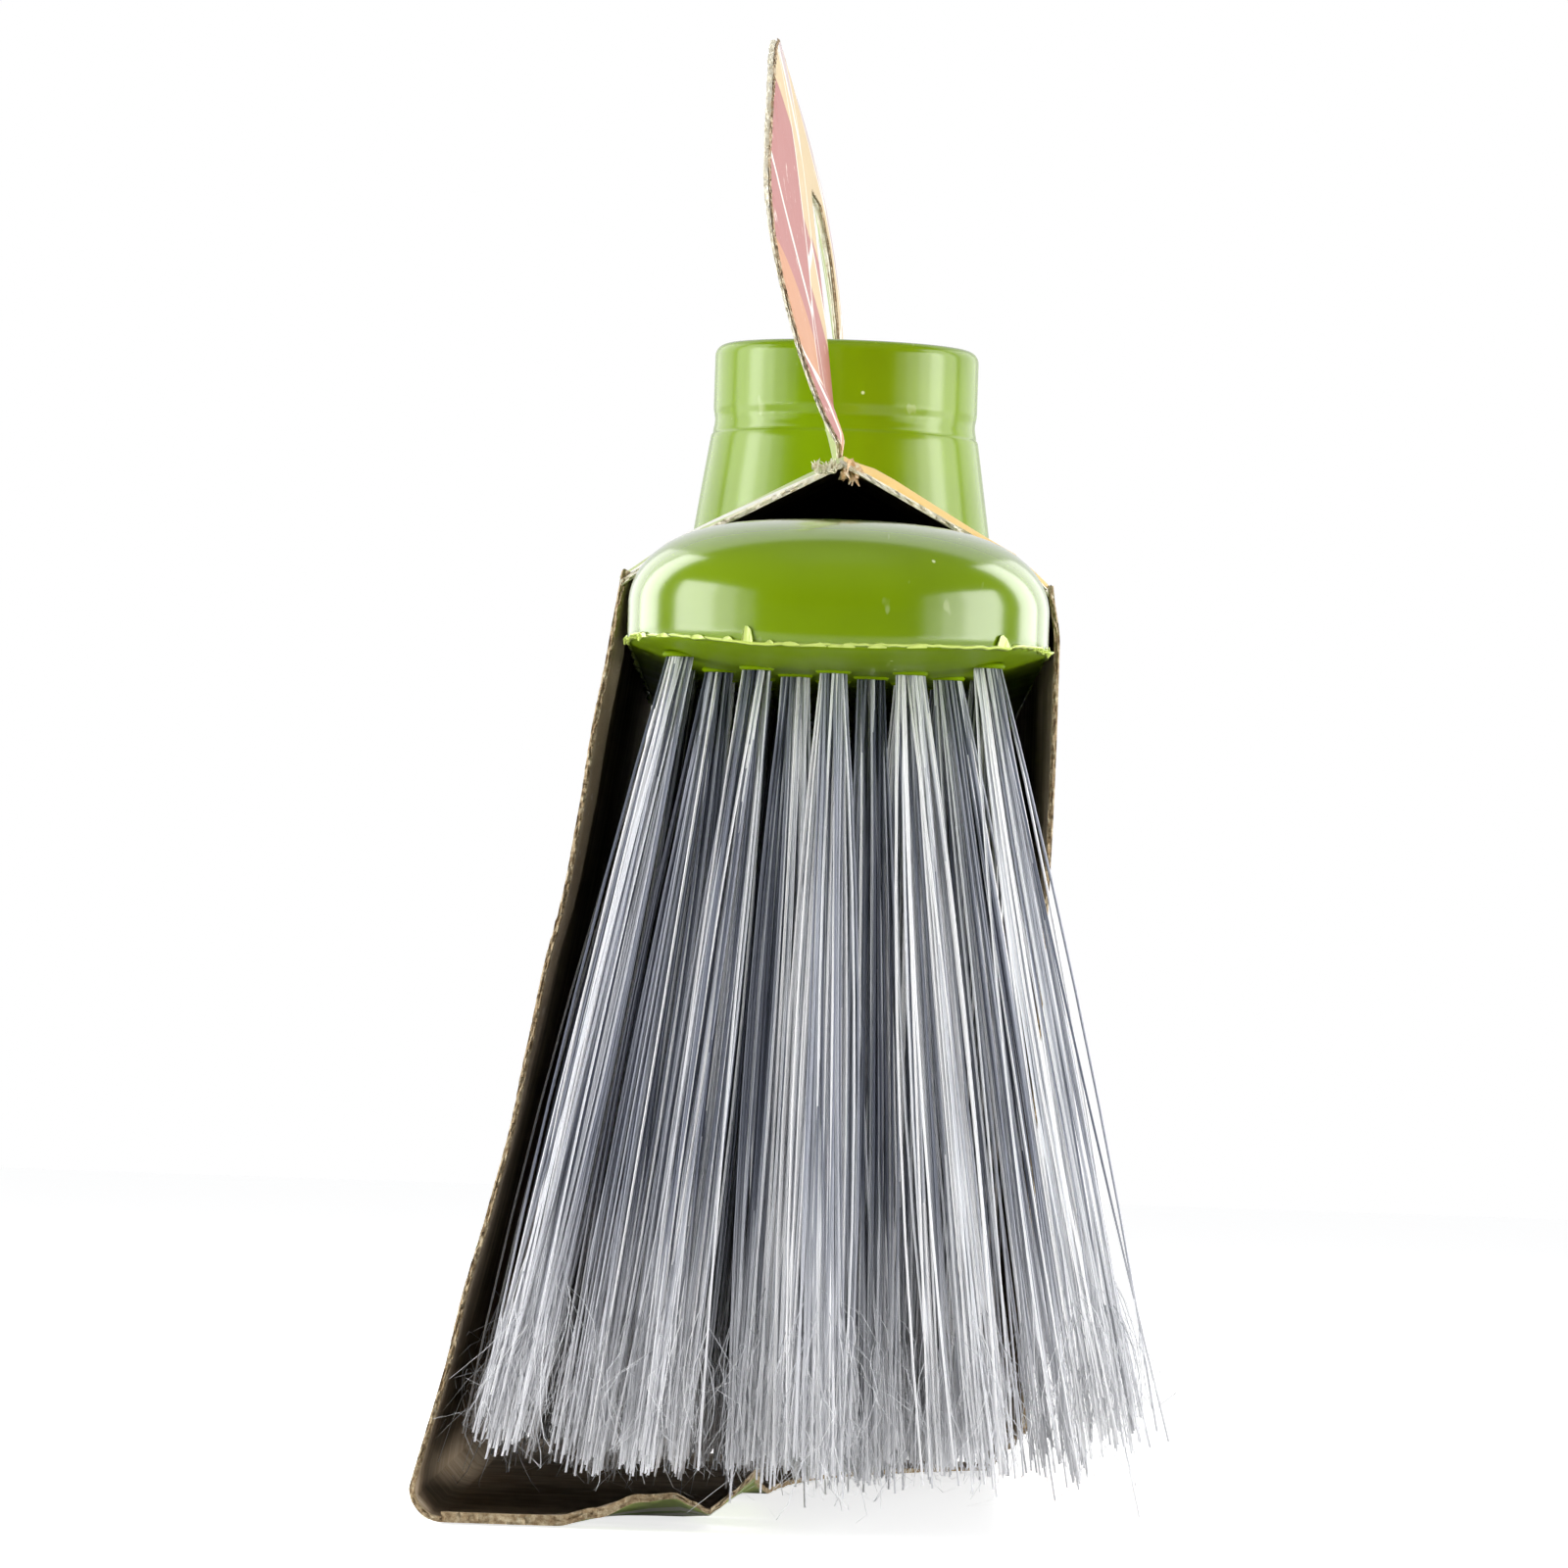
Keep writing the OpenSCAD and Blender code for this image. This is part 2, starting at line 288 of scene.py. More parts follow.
def green_plastic():
    """Glossy moulded plastic, dull under the parting line, with specks, fine scratches and a flash painted
    lighter for the light shining through it.
    """
    material, n, feed = new_material("green_plastic")
    place = n.object_place()
    _, y, z = n.parts(place)
    flash = n.attribute("flash")

    cloud = n.noise(place, 45, 2)
    colour = n.mix(n.smooth(cloud, 0.35, 0.65), GREEN_DEEP, GREEN)
    speck = n.node("ShaderNodeTexVoronoi", None, {"Vector": place, "Scale": 260})
    crumb = n.smooth(speck, 0.03, 0.07, 1, 0) * (n.noise(place, 38, 1) > 0.6)
    scratch = n.noise(place, 420, 2, 0.6, stretch=(1, 0.08, 0.5))
    scuff = n.smooth(scratch, 0.68, 0.74) * 0.25
    colour = n.mix(n.math("MAXIMUM", crumb, scuff), colour, rgba(206, 216, 160))
    # the flash is painted the lighter green, painted light for light shining through the thin plastic
    feed("Base Color", n.mix(flash, colour, GREEN_FLASH_LIT))

    past = n.math("ABSOLUTE", y) / (HALF_WIDTH * MM) - STRAIGHT_HALF / HALF_WIDTH
    sag = n.math("MAXIMUM", past, 0.0) ** 4 * END_SAG * MM
    under, high = z + sag < (PARTING - 0.1) * MM, z > (BLOCK_TOP + 0.3) * MM
    feed("Roughness", n.smooth(n.noise(place, 130, 3), 0.3, 0.75, 0.1, 0.2)
         + n.math("MAXIMUM", flash, under) * 0.3 + high * 0.06)
    feed("Coat Weight", 1 - under - high * 0.48)
    feed("Coat Roughness", 0.17)
    feed("Coat IOR", 1.75)
    feed("Specular IOR Level", 0.08)
    feed("IOR", 1.5)
    relief = n.noise(place, 55, 1) + n.noise(place, 900, 3) * 0.03 - crumb * 0.1
    feed("Normal", n.bump(relief, 0.2, 0.0004))
    return material


def bristle_fibre():
    """Each filament has its own shade, kept in its UV: u is the shade, partly chance and partly painted
    shading by tuft, v runs to the tip.
    """
    material, n, feed = new_material("bristle_fibre")
    uv = n.node("ShaderNodeUVMap", {"uv_map": "OFBake"})
    shade, along, _ = n.parts(uv)
    colour = n.ramp(shade, [(0.0, (52, 55, 66)), (0.26, (94, 99, 113)), (0.42, (160, 164, 176)),
                            (0.56, (240, 242, 246)), (0.7, (254, 254, 255))])
    feed("Base Color", n.mix(n.smooth(along, 0.6, 1.0, 0, 0.7), colour, rgba(246, 246, 248)))
    feed("Roughness", n.smooth(along, 0.7, 1.0, 0.36, 0.7))
    feed("IOR", 1.5)
    return material


def brushed_steel():
    """Strip with a fine grain along the brush."""
    material, n, feed = new_material("staple_steel")
    place = n.object_place()
    grain = n.noise(place, 900, 4, 0.6, stretch=(1, 0.05, 1))
    feed("Base Color", n.mix(n.smooth(grain, 0.3, 0.7), rgba(170, 170, 174), rgba(214, 214, 216)))
    feed("Roughness", n.smooth(grain, 0.3, 0.7, 0.28, 0.45))
    feed("Metallic", 1.0)
    feed("Normal", n.bump(grain, 0.3, 0.00005))
    return material


# Print palettes: (where on the scale from 0 to 1 its use starts, colour)
LIME_PRINT = [(0.0, (166, 180, 104)), (0.34, (144, 164, 82)), (0.67, (178, 190, 122))]
YELLOW_PRINT = [(0.0, (226, 178, 65)), (0.4, (232, 193, 102)), (0.7, (206, 167, 40))]
PEACH_PRINT = [(0.0, (204, 172, 155)), (0.35, (208, 148, 128)), (0.7, (216, 188, 152))]
HEADER_PRINT = [(0.0, (192, 132, 90)), (0.24, (166, 98, 92)), (0.44, (204, 180, 134)),
                (0.66, (188, 170, 170)), (0.9, (176, 160, 160))]

# Cut edges: (strength of the fibre grain, colour there)
TORN_EDGE = [(0.3, (182, 138, 96)), (0.48, (222, 184, 138)), (0.64, (244, 232, 208))]
GREY_EDGE = [(0.28, (110, 90, 64)), (0.45, (160, 138, 106)), (0.62, (198, 182, 150)),
             (0.8, (228, 218, 196))]
CREAM_EDGE = [(0.25, (196, 178, 140)), (0.42, (232, 224, 198)), (0.7, (248, 245, 232))]
BROWN_EDGE = [(0.28, (120, 92, 66)), (0.46, (176, 150, 118)), (0.66, (222, 208, 180))]

# Header print: its colours go by the height above BANDS_FROM and by the place along the brush
BANDS_FROM = 0.117
BANDS_BY_HEIGHT, BANDS_BY_LENGTH = 0.62, 0.5

# What the "skin" attribute says of a face of card: printed, cut edge or grey inner face
PRINTED, CUT, INNER = 1.0, 0.5, 0.0


def card_finish(name, palette, cut_edge, cells=26, outline=0.05, drift=0.0):
    """Printed card: rounded shapes with pale outlines outside, grey board inside, fibres in the cut.

    cells is the scale of the shapes and outline the width of their pale lines. drift
    says how much of a shape's colour comes from its place instead of from chance.
    """
    material, n, feed = new_material(name)
    place = n.object_place()
    _, y, z = n.parts(place)
    skin = n.attribute("skin")
    printed, cut = skin > 0.75, skin > 0.25

    sway = n.noise(place, 16, 1).out("Color")
    bent = n.total(place, n.scaled(sway, 0.03))
    flat = n.vector("MULTIPLY", bent, (0.45, 1, 1))
    cell = n.node("ShaderNodeTexVoronoi", None, {"Vector": flat, "Scale": cells}).out("Color")
    edge = n.node("ShaderNodeTexVoronoi", {"feature": "DISTANCE_TO_EDGE"},
                  {"Vector": flat, "Scale": cells})
    pick = n.node("ShaderNodeSeparateColor", None, {0: cell})
    climb = ((z - BANDS_FROM) / (HEADER_HEIGHT * MM) * BANDS_BY_HEIGHT
             + (y + SLEEVE_HALF * MM) / (2 * SLEEVE_HALF * MM) * BANDS_BY_LENGTH)
    pick = pick * (1 - drift) + climb * drift
    ink = n.ramp(pick, palette + [(1.0, palette[-1][1])])
    ink.socket.node.color_ramp.interpolation = "CONSTANT"
    wear = n.noise(place, 320, 4, 0.65)
    ink = n.mix(n.smooth(edge, outline, outline * 0.7), ink, rgba(226, 224, 216))
    ink = n.mix(n.smooth(wear, 0.62, 0.72, 0, 0.6), ink, rgba(240, 236, 224))

    streak = n.noise(place, 150, 4, 0.6, stretch=(1, 1, 0.12))
    fleck = n.noise(place, 700, 3, 0.7)
    board = n.mix(n.smooth(streak, 0.3, 0.72), rgba(152, 132, 106), rgba(190, 172, 148))
    board = n.mix(n.smooth(fleck, 0.6, 0.75, 0, 0.5), board, rgba(214, 207, 190))
    fibre = n.noise(place, 1500, 4, 0.7, stretch=(1, 0.35, 1))
    colour = n.mix(cut, board, n.ramp(fibre, cut_edge))
    feed("Base Color", n.mix(printed, colour, ink))
    feed("Roughness", 0.85 - printed * 0.45 + wear * 0.1)
    feed("IOR", 1.45)
    relief = fleck * (1 - printed) + fibre * cut * (1 - printed) + wear * 0.2
    feed("Normal", n.bump(relief, 0.5, 0.0002))
    return material


GREEN_PLASTIC = green_plastic()
BRISTLE_FIBRE = bristle_fibre()
STAPLE_STEEL = brushed_steel()
LIME_CARD = card_finish("lime_card", LIME_PRINT, GREY_EDGE)
SHOULDER_CARD = card_finish("lime_shoulder_card", LIME_PRINT, CREAM_EDGE)
YELLOW_CARD = card_finish("yellow_card", YELLOW_PRINT, CREAM_EDGE)
PEACH_CARD = card_finish("peach_card", PEACH_PRINT, GREY_EDGE)
HEADER_CARD = card_finish("header_card", HEADER_PRINT, BROWN_EDGE, 30, 0.025, 0.7)
YELLOW_TORN = card_finish("torn_card", YELLOW_PRINT, TORN_EDGE)
HEADER_BACK = card_finish("header_back", LIME_PRINT, CREAM_EDGE)

# ---------------------------------------------------------------- meshes


def link(name, mesh):
    """Puts a mesh in the scene as a piece at the origin."""
    piece = bpy.data.objects.new(name, mesh)
    scene.collection.objects.link(piece)
    return piece


def build(name, points, faces, material, smooth=True, merge=True):
    """A piece from points in millimetres, with doubles merged and normals outwards."""
    mesh = bpy.data.meshes.new(name)
    mesh.from_pydata([tuple(c * MM for c in p) for p in points], [], faces)
    work = bmesh.new()
    work.from_mesh(mesh)
    if merge:
        bmesh.ops.remove_doubles(work, verts=work.verts, dist=1e-7)
        bmesh.ops.dissolve_degenerate(work, edges=work.edges, dist=1e-8)
    bmesh.ops.recalc_face_normals(work, faces=work.faces)
    work.to_mesh(mesh)
    work.free()
    mesh.materials.append(material)
    mesh.shade_smooth() if smooth else mesh.shade_flat()
    return link(name, mesh)


def mark(mesh, name, values, domain="POINT", kind="FLOAT"):
    """Keeps a value of each point or face in a named attribute of the mesh."""
    data = mesh.attributes.new(name, kind, domain).data
    data.foreach_set("vector" if kind == "FLOAT_VECTOR" else "value",
                     np.asarray(values, np.float32).ravel())


def ring_faces(rings, count, closed=False):
    """Quads between rings of points; closed also joins the last ring to the first."""
    faces = []
    for i in range(rings if closed else rings - 1):
        a, b = i * count, ((i + 1) % rings) * count
        for j in range(count):
            k = (j + 1) % count
            faces.append((a + j, a + k, b + k, b + j))
    return faces


def join(name, pieces):
    """Joins pieces into the first one and names the result."""
    with bpy.context.temp_override(
        active_object=pieces[0], object=pieces[0],
        selected_objects=pieces, selected_editable_objects=pieces,
    ):
        bpy.ops.object.join()
    pieces[0].name = name
    pieces[0].data.name = name
    return pieces[0]


def wander(rng, count, period, closed=False):
    """Smooth random values from -1 to 1, a new one every period samples."""
    knots = rng.uniform(-1, 1, max(3, count // period + 3))
    if closed:
        knots[-1] = knots[0]
    places = np.linspace(0, len(knots) - 1, count, endpoint=not closed)
    low = np.floor(places).astype(int)
    share = places - low
    share = share * share * (3 - 2 * share)
    return knots[low] * (1 - share) + knots[np.minimum(low + 1, len(knots) - 1)] * share


def ease(value, low, high):
    """Goes smoothly from 0 to 1 while value goes from low to high."""
    t = min(max((value - low) / (high - low), 0.0), 1.0)
    return t * t * (3 - 2 * t)


def attach(piece, body, slot, *nodes):
    """Rides a piece on a body in place of the CAD nodes it stands for; slot is not used."""
    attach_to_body(piece, body)
    if nodes:
        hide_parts(*nodes)


# ---------------------------------------------------------------- block

END_STEPS, SIDE_STEPS = 96, 60
CROWN_ANGLES = (0, 2, 5, 9, 13, 18, 23, 29, 35, 42, 49, 56, 63, 70, 75, 79, 82, 84.5, 86.5, 88,
                89, 89.6)


def stadium(radius):
    """Points round the block's outline, drawn in to a smaller radius."""
    points = []
    for end in (1, -1):
        for i in range(END_STEPS + 1):
            angle = math.pi * i / END_STEPS
            points.append((end * radius * math.cos(angle),
                           end * (STRAIGHT_HALF + radius * math.sin(angle))))
        for i in range(1, SIDE_STEPS):
            y = STRAIGHT_HALF * (1 - 2 * i / SIDE_STEPS)
            points.append((-end * radius, end * y))
    return points


def crown(angle):
    """Radius and height on the rounded upper edge, from the band (0) to the middle (90)."""
    a = math.radians(angle)
    return (HALF_WIDTH * max(0.0, math.cos(a)) ** (2 / BLOCK_POWER),
            BAND_TOP + (BLOCK_TOP - BAND_TOP) * math.sin(a))


def belly_z(radius):
    """Height of the block's underside, which is flat in the middle."""
    share = max(0.0, radius / HALF_WIDTH - BELLY_FLAT) / (1 - BELLY_FLAT)
    return PARTING - BELLY * (1 - share**BELLY_POWER)


def end_sag(y):
    """How far the parting line hangs lower towards the block's two tips."""
    return END_SAG * (max(0.0, abs(y) - STRAIGHT_HALF) / HALF_WIDTH) ** 4


def block_body():
    """The moulding's belly, band and rounded top, as rings from the bottom up."""
    levels = [(HALF_WIDTH * i / 14, belly_z(HALF_WIDTH * i / 14)) for i in range(14)]
    levels += [(HALF_WIDTH - 0.35, PARTING - 0.32), (HALF_WIDTH - 0.08, PARTING - 0.1)]
    levels += [(HALF_WIDTH, PARTING + rise) for rise in (0.1, 1.3, 2.6)]
    levels += [crown(angle) for angle in CROWN_ANGLES] + [(0.0, BLOCK_TOP)]
    points = [(x, y, z - end_sag(y) * (1 - ease(z, PARTING + 2.6, PARTING + 9)))
              for r, z in levels for x, y in stadium(r)]
    count = len(points) // len(levels)
    return build("block_body", points, ring_faces(len(levels), count), GREEN_PLASTIC)


def block_flash(rng):
    """The thin ragged fin that the mould leaves along its parting line."""
    outline = []
    steps = 1500
    end_arc, side = math.pi * HALF_WIDTH, 2 * STRAIGHT_HALF
    total = 2 * (end_arc + side)
    for i in range(steps):
        s = total * i / steps
        half, s = divmod(s, total / 2)
        sign = 1 if half == 0 else -1
        if s < end_arc:
            a = s / HALF_WIDTH
            outline.append((sign * math.cos(a), sign * math.sin(a), sign * STRAIGHT_HALF))
        else:
            outline.append((-sign, 0, sign * (STRAIGHT_HALF - (s - end_arc))))
    coarse, fine, drop, torn = (wander(rng, steps, period, closed=True) for period in (22, 2, 34, 9))
    points = []
    for (nx, ny, oy), c, f, d, t in zip(outline, coarse, fine, drop, torn):
        reach = 0.08 + 0.42 * max(0, c) + 0.16 * abs(f) + 0.22 * (t > 0.45)
        z = PARTING + 0.2 * d + 0.1 * f + 0.16 * (t > 0.45)
        curl = 0.16 * max(0, t)
        for r, h in ((HALF_WIDTH - 0.3, -0.3), (HALF_WIDTH + reach, curl - 0.06),
                     (HALF_WIDTH + reach, curl + 0.06), (HALF_WIDTH - 0.3, 0.3)):
            points.append((nx * r, ny * r + oy, z + h - end_sag(ny * r + oy)))
    faces = ring_faces(steps, 4, closed=True)
    piece = build("block_flash", points, faces, GREEN_PLASTIC, merge=False)
    # the fin's outer part is marked for the lighter green, painted light shining through it
    mark(piece.data, "flash", np.tile([0, 1, 1, 0], steps))
    return piece


def burrs(rng):
    """Small torn leaves of plastic that stand on the parting line."""
    points, faces = [], []
    leaves = [(-0.43, 2.5, 1.3), (0.875, 1.8, 2.2)]  # angle from the tip, height, width
    leaves += [(rng.uniform(-1.45, 1.45), rng.uniform(0.15, 0.5), rng.uniform(0.7, 2.4))
               for _ in range(16)]
    leaves += [(side * rng.uniform(1.15, 1.6), rng.uniform(-1.0, 0.6), rng.uniform(0.4, 1.2))
               for side in (-1, 1) for _ in range(14)]
    count = 5
    for end in (-1, 1):
        for angle, rise, width in leaves:
            base = len(points)
            for layer in (0.02, 0.2):
                for i in range(count):
                    t = i / (count - 1)
                    a = angle + width * (t - 0.5) / HALF_WIDTH
                    up = rise * (1 - abs(2 * t - 1) ** 1.5) * rng.uniform(0.55, 1.0)
                    for h, out in ((-0.15, 0.0), (up, 0.12 + 0.1 * rng.random())):
                        r = HALF_WIDTH + layer * (0.4 if h > 0 else 1) + out
                        y = end * (STRAIGHT_HALF + r * math.cos(a))
                        points.append((r * math.sin(a), y, PARTING + h - end_sag(y)))
            for i in range(count - 1):
                a, b = base + 2 * i, base + 2 * (i + count)
                faces += [(a, a + 2, a + 3, a + 1), (b, b + 1, b + 3, b + 2),
                          (a + 1, a + 3, b + 3, b + 1), (a, b, b + 2, a + 2)]
            for i in (0, count - 1):
                a, b = base + 2 * i, base + 2 * (i + count)
                faces.append((a, a + 1, b + 1, b))
    piece = build("burrs", points, faces, GREEN_PLASTIC, smooth=False, merge=False)
    # the leaves take the lighter green too, painted light shining through them
    mark(piece.data, "flash", np.ones(len(points)))
    return piece


def socket_body():
    """The pole socket as a turned cup: outside, rim, seat, thread bore and floor."""
    step_r = SOCKET_R + 0.22
    flare, rise = FOOT_R - 0.1 - step_r, RING_Z - RING_HALF - BLOCK_TOP - 0.3
    outer = [(FOOT_R, BAND_TOP + 1), (FOOT_R, BLOCK_TOP - 0.3)]
    outer += [(FOOT_R - 0.1 - flare * (i / 24) ** 1.08, BLOCK_TOP + rise * i / 24) for i in range(25)]
    outer += [(step_r - 0.08, BLOCK_TOP + rise + 0.2)]
    ring = [(SOCKET_R - RING_DEPTH * math.sin(math.pi * i / 12) ** 2,
             RING_Z + RING_HALF * (i / 6 - 1)) for i in range(13)]
    plain = [(SOCKET_R, RING_Z + RING_HALF + d) for d in (0.3, 2, 4, 5.6)]
    rim = [(SOCKET_R - RIM_ROUND * (1 - math.cos(a)), SOCKET_TOP - RIM_ROUND * (1 - math.sin(a)))
           for a in np.radians(np.linspace(0, 90, 9))]
    seat_z = SOCKET_TOP - SEAT_DEPTH
    floor_z = seat_z - THREAD_DEPTH
    inner = [(SEAT_R + 0.5, SOCKET_TOP), (SEAT_R + 0.15, SOCKET_TOP - 0.15), (SEAT_R, SOCKET_TOP - 0.5),
             (SEAT_R, seat_z + 0.4), (SEAT_R, seat_z), (THREAD_R + 0.6, seat_z),
             (THREAD_R, seat_z - 0.6), (THREAD_R, floor_z + 1), (THREAD_R, floor_z)]
    levels = [(0, BAND_TOP + 1)] + outer + ring + plain + rim + inner + [(0, floor_z)]
    count = 160
    points = [(r * math.cos(2 * math.pi * j / count), r * math.sin(2 * math.pi * j / count), z)
              for r, z in levels for j in range(count)]
    return build("socket_body", points, ring_faces(len(levels), count), GREEN_PLASTIC)


def socket_thread():
    """The ridge that winds down the bore."""
    top = SOCKET_TOP - SEAT_DEPTH - 1.5
    round_steps = 48
    steps = int((THREAD_DEPTH - 4) / THREAD_PITCH * round_steps)
    points = []
    for i in range(steps + 1):
        a = 2 * math.pi * i / round_steps
        z = top - THREAD_PITCH * i / round_steps
        fade = min(1, i / 10, (steps - i) / 10)
        crest = THREAD_R - 1.1 * fade
        for r, h in ((THREAD_R + 0.2, 1.3), (crest, 0.7), (crest, -0.7), (THREAD_R + 0.2, -1.3)):
            points.append((r * math.cos(a), r * math.sin(a), z + h * max(fade, 0.05)))
    faces = ring_faces(steps + 1, 4)
    faces += [(0, 1, 2, 3), tuple(4 * steps + k for k in (3, 2, 1, 0))]
    return build("socket_thread", points, faces, GREEN_PLASTIC, smooth=False, merge=False)


rng = np.random.default_rng(7)
block = join("brush_block_moulding",
             [block_body(), block_flash(rng), burrs(rng), socket_body(), socket_thread()])
attach(block, "brush", "green_plastic", "brush_block")

# ---------------------------------------------------------------- tufts


def row_x(row):
    """How far a row stands to the side; rows count from the left."""
    return (row - (ROWS + 1) / 2) * TUFT_PITCH / 2


def tufts_of(row):
    """Mouth, direction and spread of the tips of each tuft of a row.

    Only the tufts near the two ends and those left of the middle splay; the upright
    right wall holds the others back.
    """
    rng = np.random.default_rng(300 + row)
    found = []
    for column in range(-COLUMNS, COLUMNS + 1):
        if (row + abs(column)) % 2 == 0:
            continue
        x, y = row_x(row), column * COLUMN_PITCH
        past = max(0, abs(y) - STRAIGHT_HALF)
        free = abs(column) >= COLUMNS - 1
        splay = math.radians(SIDE_SPLAY * x / row_x(ROWS) if free or x < 0 else 0)
        lean = math.radians(math.copysign(END_LEAN * (abs(column) / COLUMNS) ** 6, column))
        down = Vector((math.sin(splay), math.cos(splay) * math.sin(lean),
                       -math.cos(splay) * math.cos(lean)))
        outermost = row in (1, ROWS)
        if outermost:
            spread = 3.8 if x > 0 else 3.2 if free else 4.2
        else:
            spread = rng.uniform(2.3, 4.2) + 1.3 * (row == ROWS - 1)
            down.x += math.radians(rng.uniform(-1.6, 1.6))
        x = x * ROOT_DRAW - ROOT_SHIFT
        found.append(((x, y, belly_z(math.hypot(x, past))), down, spread))
    return found


def new_tree(name, sockets):
    """A geometry tree with named inputs; returns its nodes and its inputs by name."""
    tree = bpy.data.node_groups.new(name, "GeometryNodeTree")
    tree.interface.new_socket("Geometry", in_out="INPUT", socket_type="NodeSocketGeometry")
    for label, kind, value in sockets:
        made = tree.interface.new_socket(label, in_out="INPUT", socket_type=f"NodeSocket{kind}")
        if value is not None:
            made.default_value = value
    tree.interface.new_socket("Geometry", in_out="OUTPUT", socket_type="NodeSocketGeometry")
    n = Nodes(tree)
    entry = tree.nodes.new("NodeGroupInput")
    given = {s.name: Value(n, s) for s in entry.outputs if s.name}
    return tree, n, given


def end_tree(tree, n, geometry, material):
    """Ends a tree in real geometry with its material."""
    real = n.node("GeometryNodeRealizeInstances", None, {0: geometry})
    done = n.node("GeometryNodeSetMaterial", None, {0: real, "Material": material})
    tree.links.new(done.socket, tree.nodes.new("NodeGroupOutput").inputs[0])


def run_tree(name, tree, mesh, values):
    """Evaluates the tree on a mesh and returns the result as a plain piece."""
    holder = link(name + "_seed", mesh)
    modifier = holder.modifiers.new("grow", "NODES")
    modifier.node_group = tree
    for item in tree.interface.items_tree:
        if item.in_out == "INPUT" and item.name in values:
            modifier[item.identifier] = values[item.name]
    graph = bpy.context.evaluated_depsgraph_get()
    graph.update()
    result = bpy.data.meshes.new_from_object(holder.evaluated_get(graph), depsgraph=graph)
    result.name = name
    holder.modifiers.remove(modifier)
    bpy.data.objects.remove(holder)
    return link(name, result)


def bristle_tree():
    """Grows filaments and split hairs from points that have aim, reach, spread and painted shading: the
    end tufts are painted lighter and the tufts set back darker.
    """
    tree, n, given = new_tree("bristle_bundles", [
        ("Filaments", "Int", 60), ("Hairs", "Int", 3), ("Root radius", "Float", 0.00145),
        ("Thickness", "Float", 0.00017), ("Hair thickness", "Float", 0.00007),
        ("Looseness", "Float", 0.0011), ("Locks", "Int", 7), ("Lock shift", "Float", 0.0016),
        ("Bow", "Float", 0.0011), ("Hair stray", "Float", 0.0013), ("Hair bow", "Float", 0.0012),
        ("Seed", "Int", 1), ("Sleeve half", "Float", 0.112), ("Right limit", "Float", 0.0222),
        ("Past the ends", "Float", 0.05), ("Lowest", "Float", 0.0011), ("Material", "Material", None),
    ])

    def named(name, kind="FLOAT"):
        return n.node("GeometryNodeInputNamedAttribute", {"data_type": kind}, {"Name": name})

    def course(name):
        """A stored vector: root is a place, run, bow, aim and across are ways to go."""
        return named(name, "FLOAT_VECTOR")

    def store(geometry, kind="FLOAT", domain="POINT", **values):
        """Keeps named values with a geometry, in the order given."""
        for name, value in values.items():
            geometry = n.node("GeometryNodeStoreNamedAttribute", {"data_type": kind, "domain": domain},
                              {"Geometry": geometry, "Name": name, "Value": value})
        return geometry

    def chance(offset, low=0.0, high=1.0, ident=None, kind="FLOAT"):
        """A random value for each point, or for all the points of an ident."""
        first = 0 if kind == "FLOAT_VECTOR" else 2
        inputs = {first: low, first + 1: high, "Seed": given["Seed"] + offset}
        if ident is not None:
            inputs["ID"] = ident
        return n.node("FunctionNodeRandomValue", {"data_type": kind}, inputs)

    def stray(offset, ident=None):
        """A random vector in a cube from -1 to 1."""
        return chance(offset, (-1, -1, -1), (1, 1, 1), ident, "FLOAT_VECTOR")

    def fibre(sides, segments):
        """A unit fibre along Z that knows how far along it each point is."""
        tube = n.node("GeometryNodeMeshCylinder", {"fill_type": "NGON"},
                      {"Vertices": sides, "Side Segments": segments, "Radius": 1.0, "Depth": 1.0})
        x, y, z = n.parts(n.node("GeometryNodeInputPosition"))
        tube = store(tube, along=z + 0.5, turn=n.math("ARCTAN2", y, x) / (2 * math.pi) + 0.5)
        return store(tube, "FLOAT_VECTOR", across=n.combine(x, y))

    def arch(along):
        """Share of the bow: none at a filament's ends, all of it in the middle."""
        return along * (1 - along) * 4

    def grow(points, tube, thickness, taper):
        """Puts a fibre on each point, bends it along root, run and bow, and keeps it in the sleeve."""
        stems = n.node("GeometryNodeInstanceOnPoints", None, {"Points": points, "Instance": tube})
        real = n.node("GeometryNodeRealizeInstances", None, {0: stems})
        along = named("along")
        x, y, z = n.parts(n.total(
            course("root"), n.scaled(course("run"), along), n.scaled(course("bow"), arch(along)),
            n.scaled(course("across"), thickness * (1 - along * taper))))
        inside = n.math("ABSOLUTE", y) < given["Sleeve half"]
        free = (1 - inside) * given["Past the ends"]
        x = n.math("MINIMUM", x, given["Right limit"] + free)
        # how far out the left wall stands at this height
        depth = n.math("MAXIMUM", CORNER_Z * MM - z, 0.0) / ((CORNER_Z - FOOT_ROUND) * MM)
        flare = depth * (1 - LEFT_BOW) + depth * depth * LEFT_BOW
        wall = flare * ((LEFT_FOOT_X - LEFT_WALL_X) * MM) + (LEFT_WALL_X - CARD - 0.4) * MM
        x = n.math("MAXIMUM", x, 0 - wall - free)
        placed = n.combine(x, y, n.math("MAXIMUM", z, given["Lowest"]))
        grown = n.node("GeometryNodeSetPosition", None, {"Geometry": real, "Position": placed})
        progress = named("progress")
        uv = n.combine(named("shade") * 0.98 + named("turn") * 0.015,
                       progress + along * (1 - progress))
        grown = store(grown, "FLOAT2", "CORNER", OFBake=uv)
        return n.node("GeometryNodeSetShadeSmooth", None, {0: grown})

    def copies(points, amount):
        return n.node("GeometryNodeDuplicateElements", {"domain": "POINT"},
                      {"Geometry": points, "Amount": given[amount]})

